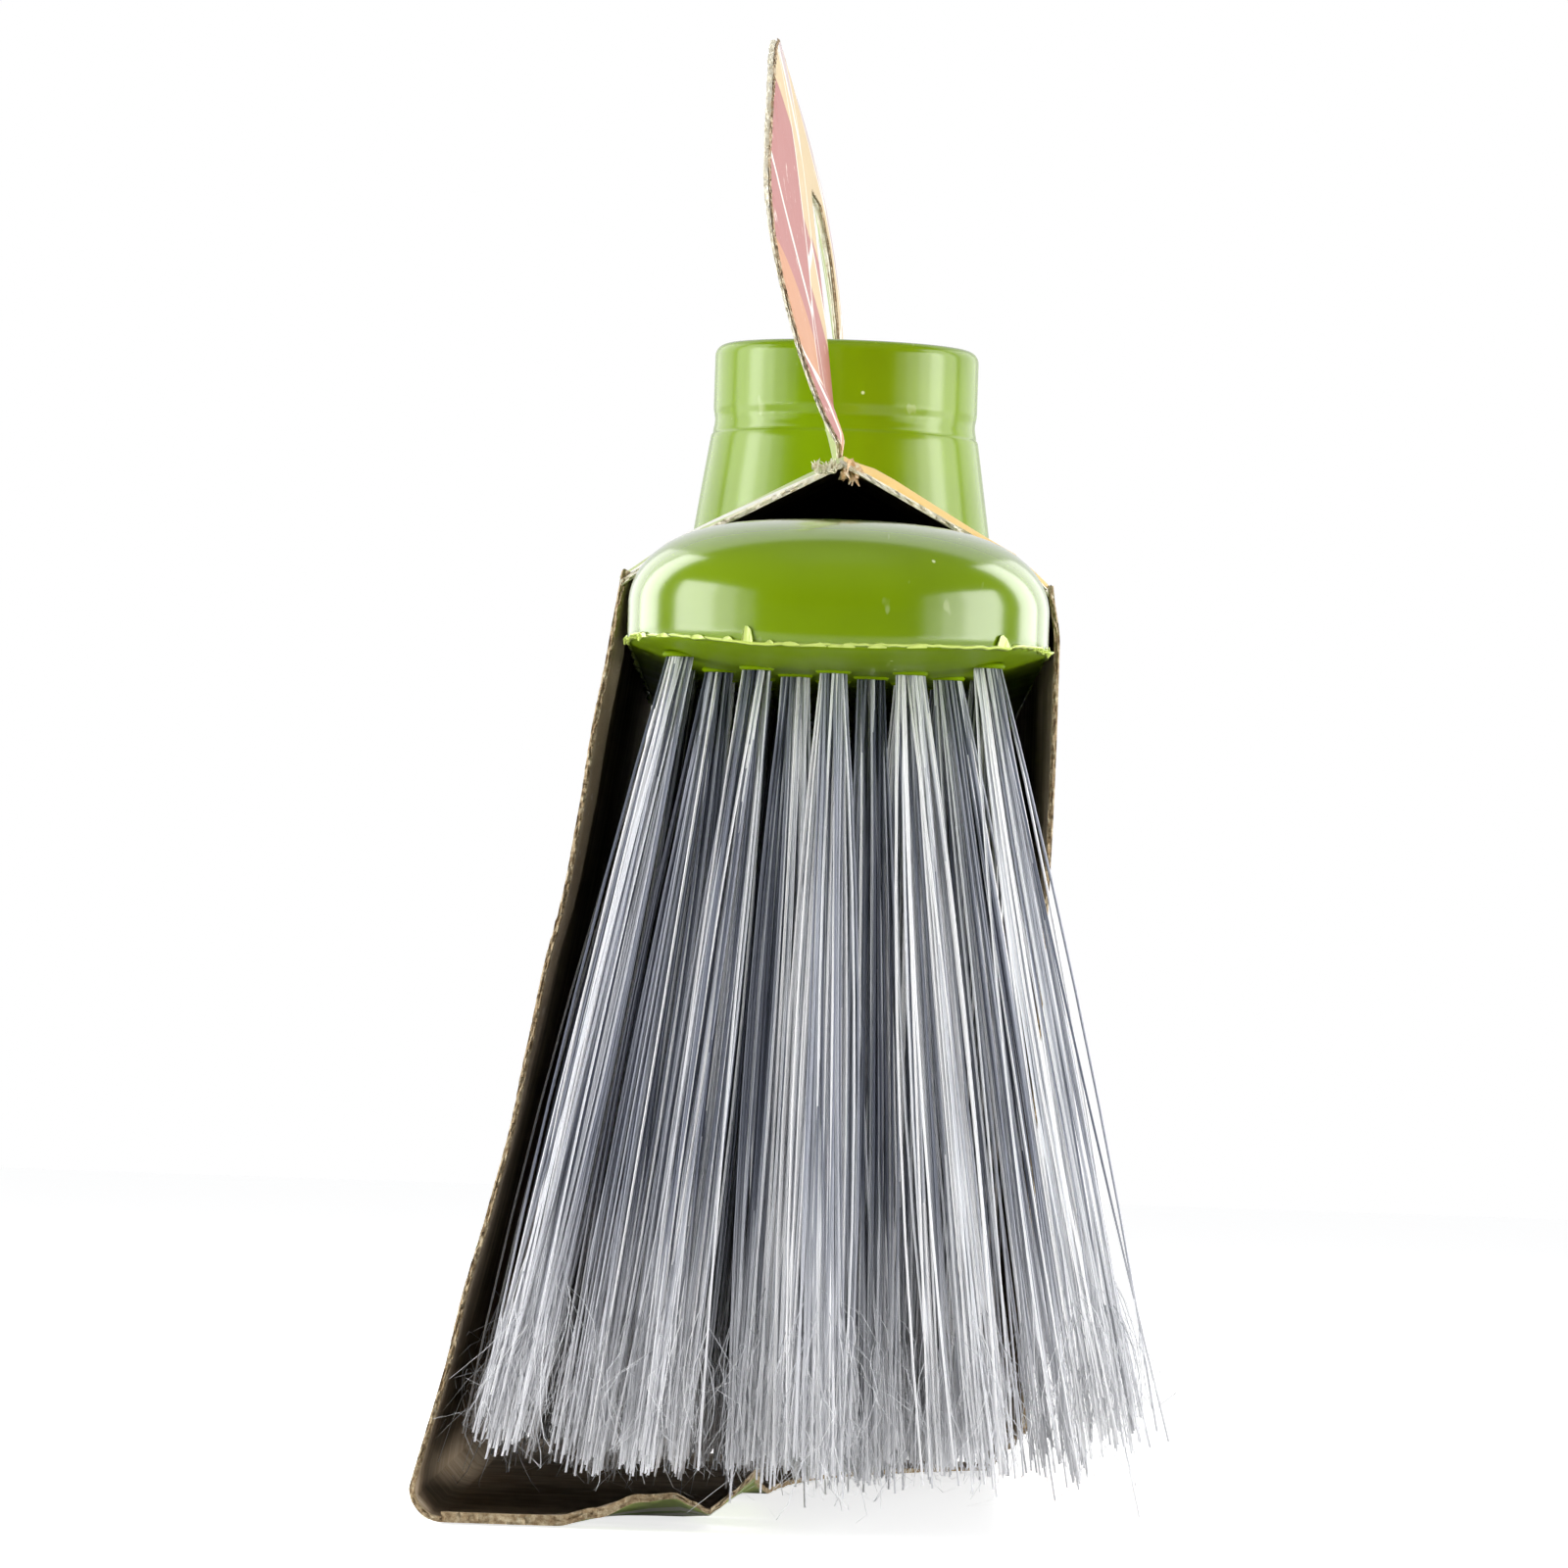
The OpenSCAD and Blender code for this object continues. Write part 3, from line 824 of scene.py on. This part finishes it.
    # one point per filament, spread over the mouth of its hole
    tufts = n.node("GeometryNodeMeshToPoints", None, {0: given["Geometry"]})
    filaments = copies(store(tufts, tuft=n.node("GeometryNodeInputIndex")), "Filaments")
    angle, radius = chance(1, 0, 2 * math.pi), chance(2) ** 0.5
    disc = n.combine(n.math("COSINE", angle) * radius, n.math("SINE", angle) * radius)
    in_mouth = n.scaled(disc, given["Root radius"])
    lock = n.math("FLOOR", angle / (2 * math.pi) * given["Locks"]) + named("tuft") * 31
    # most filaments stay in their lock, a few stray and a rare one strays far
    loose = chance(4) ** 7 * 2.1 + chance(10) ** 45 * 6 + 0.35
    tip = n.total(
        n.scaled(course("aim"), named("reach") * (1 - chance(6) ** 3 * 0.05)),
        n.scaled(disc, named("spread")), n.scaled(stray(3, lock), given["Lock shift"]),
        n.scaled(stray(5), loose * given["Looseness"]))
    # each filament's shade: chance by filament, lock and tuft, plus the painted shading that its tuft
    # carries
    tone = chance(9, 0, 0.36, lock) + chance(17, 0, 0.2, named("tuft")) + named("tone")
    filaments = store(filaments, shade=chance(7) * 0.42 + tone, progress=0.0)
    filaments = store(
        filaments, "FLOAT_VECTOR",
        run=n.vector("SUBTRACT", tip, in_mouth),
        bow=n.total(n.scaled(stray(8), given["Bow"]), n.scaled(disc, named("spread") * 0.12)),
        root=n.total(n.node("GeometryNodeInputPosition"), in_mouth))
    stems = grow(filaments, fibre(5, 7), given["Thickness"], 0.25)

    # the tips are split into finer hairs that stray further
    hairs = copies(filaments, "Hairs")
    start, wild = chance(11, 0.8, 0.96), chance(12) ** 5 * 5 + 0.6
    hairs = store(hairs, progress=start, shade=chance(16, 0.2, 0.7))
    hairs = store(
        hairs, "FLOAT_VECTOR",
        root=n.total(course("root"), n.scaled(course("run"), start), n.scaled(course("bow"), arch(start))),
        run=n.total(n.scaled(course("run"), (1 - start) * chance(13, 0.64, 0.9)),
                    n.scaled(stray(14), wild * given["Hair stray"])),
        bow=n.scaled(stray(15), wild * given["Hair bow"]))
    wisps = grow(hairs, fibre(3, 4), given["Hair thickness"], 0.5)

    both = tree.nodes.new("GeometryNodeJoinGeometry")
    for part in (wisps, stems):
        tree.links.new(part.socket, both.inputs[0])
    end_tree(tree, n, Value(n, both.outputs[0]), given["Material"])
    return tree


def seed_points(name, places):
    """A mesh of loose points for a tree to grow from."""
    mesh = bpy.data.meshes.new(name)
    mesh.from_pydata([Vector(place) * MM for place in places], [], [])
    return mesh


def bristles():
    """The filaments of each row, and the finish of the staples that hold them."""
    tree = bristle_tree()
    for row in range(1, ROWS + 1):
        mouths, aims, spreads = zip(*tufts_of(row))
        mesh = seed_points(f"tufts_{row}", mouths)
        length = TUFT_LENGTH - REACH_LEAN * row_x(row) / row_x(ROWS)
        at_ends = np.abs([y for _, y, _ in mouths]) > (COLUMNS - 0.5) * COLUMN_PITCH
        mark(mesh, "aim", aims, kind="FLOAT_VECTOR")
        mark(mesh, "reach", [length * MM] * len(mouths))
        # painted light and shade: the tufts at the ends are painted lighter and those set back darker for
        # the shade between tufts; the end tufts of the left row are painted darker too
        mark(mesh, "tone", np.where(at_ends, -0.1 if row == 1 else 0.1, -0.08))
        mark(mesh, "spread", [spread * MM for spread in spreads])
        piece = run_tree(f"bristle_row_{row}", tree, mesh,
                         {"Seed": 100 * row, "Material": BRISTLE_FIBRE})
        kept = piece.data.attributes
        for name in ("along", "across", "turn", "run", "bow", "root", "shade", "progress",
                     "aim", "reach", "spread", "tone", "tuft"):
            if name in kept:
                kept.remove(kept[name])
        attach(piece, "brush", "bristle", f"tuft_row_{row}")
        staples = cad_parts[f"anchor_row_{row}"].data.materials
        staples.clear()
        staples.append(STAPLE_STEEL)


def hole_lips():
    """Rings a small raised lip round the mouth of every tuft hole."""
    tree, n, given = new_tree("hole_lips", [
        ("Hole radius", "Float", HOLE_R * MM), ("Lip", "Float", 0.0003),
        ("Material", "Material", None),
    ])

    def circle(steps, radius):
        return n.node("GeometryNodeCurvePrimitiveCircle", {"mode": "RADIUS"},
                      {"Resolution": steps, "Radius": given[radius]})

    ring = n.node("GeometryNodeCurveToMesh", None,
                  {"Curve": circle(14, "Hole radius"), "Profile Curve": circle(5, "Lip")})
    ring = n.node("GeometryNodeSetShadeSmooth", None, {0: ring})
    rings = n.node("GeometryNodeInstanceOnPoints", None,
                   {"Points": given["Geometry"], "Instance": ring})
    end_tree(tree, n, rings, given["Material"])
    mouths = [mouth for row in range(1, ROWS + 1) for mouth, _, _ in tufts_of(row)]
    piece = run_tree("hole_lips", tree, seed_points("mouths", mouths), {"Material": GREEN_PLASTIC})
    attach(piece, "brush", "green_plastic")


bristles()
hole_lips()

# ---------------------------------------------------------------- card


def inside_outline(point, outline):
    """Whether a point lies inside a closed outline."""
    x, y = point
    odd = False
    for (ax, ay), (bx, by) in zip(outline, outline[1:] + outline[:1]):
        if (ay > y) != (by > y) and x < (bx - ax) * (y - ay) / (by - ay) + ax:
            odd = not odd
    return odd


def card_sheet(name, outline, place, material, rng, fray, step=3.0):
    """A sheet of card cut to an outline of (across, along) points.

    place(across, along, depth) gives a point of the bent sheet, where depth runs
    from 0 on the printed face to 1 on the inner face. fray(across, along) says how
    far the cut's fibres stick out there.
    """
    lows, highs = np.min(outline, 0), np.max(outline, 0)
    grid = []
    for a in np.arange(lows[0] + step / 2, highs[0], step):
        for b in np.arange(lows[1] + step / 2, highs[1], step):
            point = (float(a), float(b))
            if inside_outline(point, outline):
                gap = min(math.hypot(point[0] - p[0], point[1] - p[1]) for p in outline[::2])
                if gap > step * 0.4:
                    grid.append(point)
    count = len(outline)
    corners = [Vector(p) for p in outline + grid]
    edges = [(i, (i + 1) % count) for i in range(count)]
    found, _, triangles, *_ = delaunay_2d_cdt(corners, edges, [tuple(range(count))], 1, 1e-5)

    # both faces; an edge that is used one way only lies on the cut
    flat = [tuple(v) for v in found]
    inner = len(flat)
    points = [place(a, b, depth) for depth in (0.0, 1.0) for a, b in flat]
    faces, skins, uses = [], [], {}
    for t in triangles:
        faces += [tuple(t), tuple(v + inner for v in reversed(t))]
        skins += [PRINTED, INNER]
        for a, b in zip(t, t[1:] + t[:1]):
            uses[(a, b)] = True
    border = [(a, b) for a, b in uses if (b, a) not in uses]

    # layers of the frayed cut
    layers = (0.25, 0.5, 0.75)
    after = dict(border)
    before = {b: a for a, b in border}
    rims = {}
    for v in after:
        a, b = flat[before[v]], flat[after[v]]
        out = Vector((b[1] - a[1], a[0] - b[0]))
        out = out.normalized() if out.length else out
        reach = fray(*flat[v])
        rims[v] = [v]
        for depth in layers:
            push = reach * rng.uniform(-0.6, 1.0)
            rims[v].append(len(points))
            points.append(place(flat[v][0] + out.x * push, flat[v][1] + out.y * push, depth))
        rims[v].append(v + inner)
    for a, b in border:
        for k in range(len(layers) + 1):
            faces.append((rims[b][k], rims[a][k], rims[a][k + 1], rims[b][k + 1]))
            skins.append(CUT)
    piece = build(name, points, faces, material, merge=False)
    piece.data.set_sharp_from_angle(angle=math.radians(38))
    mark(piece.data, "skin", skins, "FACE")
    return piece


def ragged(rng, start, end, amount, spacing=0.5):
    """Points from start to just before end, with a torn wobble across the line."""
    a, b = Vector(start), Vector(end)
    along = b - a
    count = max(2, int(along.length / spacing))
    side = Vector((-along.y, along.x)).normalized()
    slow, fast = wander(rng, count, 9), wander(rng, count, 2)
    points = []
    for i in range(count):
        fade = min(1.0, i / 3)
        p = a + along * i / count + side * amount * fade * (0.6 * slow[i] + 0.4 * fast[i])
        points.append((p.x, p.y))
    return points


def straight(start, end, spacing=3.0):
    """Points from start to just before end."""
    a, b = Vector(start), Vector(end)
    count = max(1, int((b - a).length / spacing))
    return [tuple(a + (b - a) * i / count) for i in range(count)]


class Profile:
    """The bent section of a panel: points (x, z) on its outer face, and which way is in."""

    def __init__(self, points):
        self.points = [Vector(p) for p in points]
        self.at = [0.0]
        for a, b in zip(self.points, self.points[1:]):
            self.at.append(self.at[-1] + (b - a).length)
        self.length = self.at[-1]

    def find(self, s):
        """Point and inward direction at a distance along the section."""
        s = min(max(s, -2.0), self.length + 2.0)
        i = 0
        while i < len(self.at) - 2 and s > self.at[i + 1]:
            i += 1
        a, b = self.points[i], self.points[i + 1]
        way = (b - a).normalized()
        p = a + way * (s - self.at[i])
        before = (a - self.points[i - 1]).normalized() if i else way
        after = (self.points[i + 2] - b).normalized() if i + 2 < len(self.points) else way
        t = min(max((s - self.at[i]) / (b - a).length, 0), 1)
        start, end = (before + way) / 2, (way + after) / 2
        way = (start * (1 - t) + end * t).normalized()
        return p, Vector((way.y, -way.x))

    def where(self, x):
        """Distance along the section to the place that stands x to the side."""
        for at, a, b in zip(self.at, self.points, self.points[1:]):
            if min(a.x, b.x) <= x <= max(a.x, b.x):
                return at + (b - a).length * abs(x - a.x) / abs(b.x - a.x)
        return self.length


NEAR_CUT, FAR_CUT = NEAR + TRIM, FAR - TRIM
TORN_X = -6  # the base is torn away to the right of here at its near end
WHOLE_END = 12  # and whole over this much of its far end


def panel_place(profile, warp):
    """Bends a panel to its section and moves each point by warp(across, along)."""
    def place(s, y, depth):
        p, inward = profile.find(s)
        dx, dz = warp(s, y)
        return (p.x + inward.x * CARD * depth + dx, y, p.y + inward.y * CARD * depth + dz)
    return place


def near_fray(amount):
    """Fibres stick out of the near cut by an amount, and hardly out of the others."""
    def fray(s, y):
        return amount if y < NEAR + 2.0 else 0.05
    return fray


def left_wall(rng):
    """Runs from its upper crease down to the base; its near end bends in."""
    section, steps = [], 40
    for i in range(steps + 1):
        u = i / steps
        flare = (LEFT_FOOT_X - LEFT_WALL_X) * ((1 - LEFT_BOW) * u + LEFT_BOW * u * u)
        section.append((-LEFT_WALL_X - flare, CORNER_Z - (CORNER_Z - FOOT_ROUND) * u))
    for a in range(10, 91, 10):
        r = math.radians(90 - a)
        section.append((-LEFT_FOOT_X + FOOT_ROUND * (1 - math.sin(r)), FOOT_ROUND * (1 - math.cos(r))))
    wall = Profile(section[::-1])
    waves = 60
    sway = wander(rng, waves, 6)

    def warp(s, y):
        share = min(max(s / wall.length, 0), 1)
        wave = 0.25 * sway[int(share * (waves - 1))] * ease(-y, 90, 112)
        bend = 1.1 * ease(share, 0.3, 0.85) * ease(-y, 94, 108) * (1 - ease(-y, 108, 111.7))
        return wave + bend, 0.0

    outline = (ragged(rng, (wall.length, NEAR_CUT), (0, NEAR_CUT), 0.35)
               + straight((0, NEAR_CUT), (0, FAR_CUT))
               + ragged(rng, (0, FAR_CUT), (wall.length, FAR_CUT), 0.2, 1.5)
               + straight((wall.length, FAR_CUT), (wall.length, NEAR_CUT)))
    piece = card_sheet("left_wall_card", outline, panel_place(wall, warp), LIME_CARD, rng,
                       near_fray(0.4))
    attach(piece, "brush", "lime_card", "left_wall_panel")


def base(rng):
    """Runs from the left foot to the tear; its near edge curls up."""
    start_x = -LEFT_FOOT_X + FOOT_ROUND
    curl = [(-40, 0.0), (-27, 0.0), (-22.8, 1.0), (-18, 2.9), (-14.4, 3.4), (-12.4, 2.6),
            (-10.7, 1.8), (-9.6, 2.5), (-8.4, 3.7), (-6.4, 5.3), (-5.4, 6.9), (-3, 8.5)]

    def tear_x(y):
        share = min(max((y - NEAR) / (2 * SLEEVE_HALF - WHOLE_END), 0), 1)
        return TORN_X + (RIGHT_WALL_X - TORN_X) * share ** 5

    def lift(x):
        for (xa, za), (xb, zb) in zip(curl, curl[1:]):
            if xa <= x <= xb:
                return za + (zb - za) * ease(x, xa, xb)
        return curl[0][1] if x < curl[0][0] else curl[-1][1]

    def place(x, y, depth):
        torn = ease(x, -12, -8)
        fade = max(0.0, 1 - (y - NEAR) / (40 + 70 * torn)) ** (1.8 - 0.8 * torn)
        far_rise = 1.3 * ease(y, FAR - 20, FAR - 2) * ease(x, start_x, start_x + 2)
        swell = 1 + 0.9 * ease(-y, 100, 111) * ease(-x, 12, 24)
        return (x, y, lift(x) * fade + far_rise * (1 - ease(x, -30, -18)) + CARD * swell * depth)

    tear_line = [(tear_x(y), y) for y in np.linspace(NEAR_CUT, FAR - WHOLE_END, 60)]
    tear = []
    for a, b in zip(tear_line, tear_line[1:]):
        tear += ragged(rng, a, b, 0.5, 0.8)
    outline = (ragged(rng, (start_x, NEAR_CUT), (tear_x(NEAR), NEAR_CUT), 0.45)
               + tear
               + straight((RIGHT_WALL_X, FAR - WHOLE_END), (RIGHT_WALL_X, FAR_CUT))
               + straight((RIGHT_WALL_X, FAR_CUT), (start_x, FAR_CUT))
               + straight((start_x, FAR_CUT), (start_x, NEAR_CUT)))
    piece = card_sheet("base_card", outline, place, LIME_CARD, rng, near_fray(0.5))
    attach(piece, "brush", "lime_card", "base_panel")


def right_wall(rng):
    """Runs from its torn foot up to the crease; its near end leans."""
    def place(s, y, depth):
        lean = (0.9 * ease(s, 96, 103) - 0.75 * ease(s, 45, 88)) * ease(-y, 80, 112)
        return (RIGHT_WALL_X - lean - CARD * depth, y, s)

    foot, notch = 12, 7  # the near lower corner is torn off, the far upper one is cut off
    outline = (ragged(rng, (CORNER_Z, NEAR_CUT), (foot, NEAR_CUT), 0.35)
               + ragged(rng, (foot, NEAR_CUT), (0.2, FAR - WHOLE_END), 0.5, 0.9)
               + straight((0, FAR - WHOLE_END), (0, FAR_CUT))
               + ragged(rng, (0, FAR_CUT), (CORNER_Z - notch, FAR_CUT), 0.2, 1.5)
               + straight((CORNER_Z - notch, FAR_CUT), (CORNER_Z, FAR - notch), 1.0)
               + straight((CORNER_Z, FAR - notch), (CORNER_Z, NEAR_CUT)))
    piece = card_sheet("right_wall_card", outline[::-1], place, PEACH_CARD, rng, near_fray(0.35))
    attach(piece, "brush", "peach_card", "right_wall_panel")


def over_crown(degrees, gap):
    """A point that clears the block's rounded top by a gap and the card."""
    a = math.radians(degrees)
    return (HALF_WIDTH * math.cos(a) ** (2 / BLOCK_POWER) + gap * math.cos(a),
            BAND_TOP + (BLOCK_TOP - BAND_TOP) * math.sin(a) + CARD + gap)


def shoulder(rng, side, name, material, slot):
    """Runs from a side crease up to the ridge, cut out round the socket's foot."""
    outer = RIGHT_WALL_X if side > 0 else LEFT_WALL_X
    bends = [(outer, CORNER_Z), over_crown(28, 0.35), over_crown(44, 0.3), (0, RIDGE_Z)]
    bends = [(side * x, z) for x, z in bends]
    section = [(ax + (bx - ax) * i / 12, az + (bz - az) * i / 12)
               for (ax, az), (bx, bz) in zip(bends, bends[1:]) for i in range(12)] + bends[-1:]
    profile = Profile(section if side < 0 else section[::-1])
    crease, ridge = (0, profile.length) if side < 0 else (profile.length, 0)

    def droop(s, y):
        swell = 0.9 * ease(s, 1, 5) * max(0.0, 1 - s / 18) * ease(-y, 80, 98) if side > 0 else 0.0
        return 0.0, swell - (1.1 + swell) * ease(-y, 103, 113) ** 1.2

    collar = FOOT_R + 0.15
    arc = []
    for angle in np.linspace(90, -90, 30):
        a = math.radians(angle)
        hug = collar - 1.3 * abs(math.sin(a)) ** 3
        across = profile.where(side * hug * math.cos(a)) if abs(angle) < 90 else ridge
        arc.append((across, -hug * math.sin(a)))
    outline = (ragged(rng, (crease, NEAR_CUT), (ridge, NEAR_CUT), 0.4)
               + straight((ridge, NEAR_CUT), (ridge, -collar - 0.3))
               + arc
               + straight((ridge, collar + 0.3), (ridge, FAR_CUT))
               + straight((ridge, FAR_CUT), (crease, FAR_CUT))
               + straight((crease, FAR_CUT), (crease, NEAR_CUT)))
    piece = card_sheet(f"{name}_shoulder_card", outline[::-side], panel_place(profile, droop), material,
                       rng, near_fray(0.45), step=2.5)
    attach(piece, "brush", slot, f"{name}_shoulder_panel")


rng = np.random.default_rng(21)
left_wall(rng)
base(rng)
right_wall(rng)
shoulder(rng, -1, "left", SHOULDER_CARD, "lime_card")
shoulder(rng, 1, "right", YELLOW_CARD, "yellow_card")

# ---------------------------------------------------------------- header


def header_x(y, z):
    """How far the bowed header stands to the side at a place on it."""
    u = min(max((z - CREASE_Z) / HEADER_HEIGHT, 0), 1)
    # the near edge leans left over a swell at its foot; further back only the upper part leans
    front = 0.4 - 9.9 * math.sin(math.pi / 2 * min((u + 0.02) / 0.66, 1)) ** 0.75
    foot = u / 0.06 * math.exp(1 - u / 0.06) * ease(y, -112, -104) * (1 - ease(y, -92, -66))
    back = -8.6 * u ** 2.6
    edge = -SLEEVE_HALF * math.sqrt(1 - u * u)
    share = min(max((y - edge) / (30 - edge), 0), 1) ** 0.8
    return front * (1 - share) + back * share + 1.2 * foot


def arch_outline(rng, wobble):
    """The header's outline as (height, along) points: the arch, then the cut-out.

    wobble says how far the arch's cut wavers.
    """
    half = SLEEVE_HALF - TRIM
    points = []
    steps = 420
    slow, fast = wander(rng, steps + 1, 12), wander(rng, steps + 1, 3)
    for i in range(steps + 1):
        a = math.pi * i / steps
        drop = wobble * min(1, 8 * math.sin(a)) * (0.5 + 0.5 * (0.6 * slow[i] + 0.4 * fast[i]))
        points.append((max(0, (HEADER_HEIGHT - drop) * math.sin(a)), -(half - drop) * math.cos(a)))
    points += straight((0, half - 2), (0, CUTOUT_HALF))
    points += straight((0, CUTOUT_HALF), (CUTOUT_HEIGHT - CUTOUT_ROUND, CUTOUT_HALF), 2)
    for sign in (1, -1):
        for k in range(7):
            a = math.radians(15 * k if sign > 0 else 90 - 15 * k)
            points.append((CUTOUT_HEIGHT - CUTOUT_ROUND * (1 - math.sin(a)),
                           sign * (CUTOUT_HALF - CUTOUT_ROUND * (1 - math.cos(a)))))
    points += straight((CUTOUT_HEIGHT - CUTOUT_ROUND, -CUTOUT_HALF), (0, -CUTOUT_HALF), 2)[1:]
    points += straight((0, -CUTOUT_HALF), (0, -half))
    clean = [points[0]]
    for p in points[1:]:
        if math.dist(p, clean[-1]) > 0.05:
            clean.append(p)
    if math.dist(clean[0], clean[-1]) < 0.05:
        clean.pop()
    return clean


def header_ply(side, name, material):
    """One of the two plies, which part a little towards the arch."""
    rng = np.random.default_rng(40 + side)
    waves = 60
    gap = wander(np.random.default_rng(5), waves, 7)

    def place(h, y, depth):
        wave = gap[int(min(waves - 1, max(0, h)))]
        parted = 0.05 + 0.12 * max(0.0, wave) * ease(h, 3, 22) if side < 0 else 0
        thick = PLY * ((0.55 + 0.6 * ease(h, 14, 40)) if side < 0 else 0.5)
        z = CREASE_Z + h
        return (header_x(y, z) + side * thick * (1 - depth) - parted, y, z)

    outline = arch_outline(rng, 0.9 if side < 0 else 0.7)
    piece = card_sheet(f"header_{name}_card", outline, place, material, rng, lambda h, y: 0.25)
    attach(piece, "header", "header_card", f"header_{name}_ply")


header_ply(-1, "left", HEADER_BACK)
header_ply(1, "right", HEADER_CARD)

# ---------------------------------------------------------------- torn fibres


def torn_fibres(rng, name, material, slot, count, x, y, z, way, wild, length, width):
    """Short tapered paper fibres at the near end of the ridge.

    They start between the limits x, y and z, with y counted from the near end, and
    point the given way give or take wild. length and width are limits too.
    """
    starts = [((rng.uniform(*x), NEAR + rng.uniform(*y), rng.uniform(*z)),
               Vector(way) + Vector(rng.uniform(-wild, wild, 3)),
               rng.uniform(*length), rng.uniform(*width)) for _ in range(count)]
    points, faces = [], []
    rings = 5
    for start, way, long, wide in starts:
        way = way.normalized()
        side = way.cross(Vector((0, 1, 0.2))).normalized()
        lift = way.cross(side)
        bend = Vector(rng.uniform(-0.5, 0.5, 3)) * long
        root = len(points)
        for i in range(rings):
            t = i / (rings - 1)
            here = Vector(start) + way * long * t + bend * t * t
            half = wide * (1 - 0.8 * t) * rng.uniform(0.7, 1.0)
            points += [tuple(here + side * a * half + lift * b * half)
                       for a, b in ((1, 0), (-1, 0.4), (-1, -0.4))]
        ends = [(0, 2, 1), (3 * rings - 3, 3 * rings - 2, 3 * rings - 1)]
        faces += [tuple(root + v for v in face) for face in ring_faces(rings, 3) + ends]
    piece = build(name, points, faces, material, smooth=False, merge=False)
    mark(piece.data, "skin", [CUT] * len(faces), "FACE")
    attach(piece, "brush", slot)


rng = np.random.default_rng(77)
torn_fibres(rng, "ridge_fuzz", SHOULDER_CARD, "lime_card", 70,
            (-3.2, -0.9), (-0.3, 0.1), (113.7, 114.6), (-0.1, -1.0, 0.8), 0.6, (0.5, 1.1), (0.1, 0.3))
torn_fibres(rng, "ridge_torn_ends", YELLOW_TORN, "yellow_card", 40,
            (-0.1, 1.5), (-0.2, 2.4), (113.9, 115.4), (0.1, -0.3, -1.0), 0.45, (0.6, 1.4), (0.16, 0.44))

# ---------------------------------------------------------------- studio


def area_light(name, place, towards, width, height, radiance, unseen_by=()):
    """A soft box; unseen_by names what it doesn't light: diffuse or glossy."""
    data = bpy.data.lights.new(name, "AREA")
    data.shape = "RECTANGLE"
    data.size, data.size_y = width, height
    data.energy = radiance * math.pi * width * height
    lamp = bpy.data.objects.new(name, data)
    lamp.location = place
    lamp.rotation_mode = "QUATERNION"
    lamp.rotation_quaternion = (Vector(towards) - Vector(place)).to_track_quat("-Z", "Y")
    scene.collection.objects.link(lamp)
    for ray in ("camera", *unseen_by):
        setattr(lamp, f"visible_{ray}", False)


def studio_world():
    """White where the camera sees it. As a light it is brighter behind and above the object."""
    world = bpy.data.worlds.new("studio")
    scene.world = world
    world.use_nodes = True
    n = Nodes(world.node_tree)
    seen = n.node("ShaderNodeLightPath").out("Is Camera Ray")
    _, y, z = n.parts(n.node("ShaderNodeTexCoord").out("Generated"))
    level = n.smooth(y, 0.4, 0.5, 0.03, 0.85) + n.smooth(z, 0.1, 1.0, 0, 0.12)
    plain = n.node("ShaderNodeBackground", None, {"Color": (1, 1, 1, 1), "Strength": 1.0})
    ambient = n.node("ShaderNodeBackground", None, {"Color": (0.98, 0.99, 1, 1), "Strength": level})
    both = n.node("ShaderNodeMixShader", None, {0: seen, 1: ambient, 2: plain})
    world.node_tree.links.new(both.socket, world.node_tree.nodes["World Output"].inputs["Surface"])


def studio_floor():
    """Matt pale floor that looks near white to the camera and keeps the shadows."""
    material, n, feed = new_material("floor_paint")
    feed("Base Color", (0.8, 0.8, 0.8, 1))
    feed("Roughness", 0.9)
    feed("Specular IOR Level", 0.0)
    glow = n.node("ShaderNodeEmission", None, {
        "Color": (1, 1, 1, 1), "Strength": n.node("ShaderNodeLightPath").out("Is Camera Ray") * 0.75})
    nodes = material.node_tree.nodes
    paint = Value(n, nodes["Principled BSDF"].outputs[0])
    both = n.node("ShaderNodeAddShader", None, {0: paint, 1: glow})
    material.node_tree.links.new(both.socket, nodes["Material Output"].inputs["Surface"])
    mesh = bpy.data.meshes.new("floor")
    span, low = 4.0, -0.0002
    mesh.from_pydata([(-span, -span, low), (span, -span, low), (span, span, low), (-span, span, low)],
                     [], [(0, 1, 2, 3)])
    mesh.materials.append(material)
    link("floor", mesh)


for side, name in ((-1, "left_box"), (1, "right_box")):
    for part, y, width, radiance in (("", -0.195, 0.5, 4.6), ("_fade", -0.595, 0.3, 2.4),
                                     ("_end", -0.895, 0.3, 1.0)):
        area_light(name + part, (side, y, 0.24), (0, y, 0.24), width, 0.62, radiance)
    area_light(name + "_rim", (0.18 * side, 0.007, 0.18), (0, 0.007, 0.18), 0.106, 0.24, 3.2,
               ["diffuse"])
    area_light(name + "_back", (0.18 * side, 0.22, 0.19), (0, 0.22, 0.19), 0.28, 0.26, 1.0,
               ["diffuse"])
    area_light(name + "_strip", (1.2 * side, -0.65, 0.05), (0, -0.12, 0.05), 0.9, 0.1, 38.0,
               ["glossy"])
area_light("top_box", (0, -0.2, 1.25), (0, -0.05, 0.1), 0.8, 0.8, 3.4, ["glossy"])
studio_world()
studio_floor()
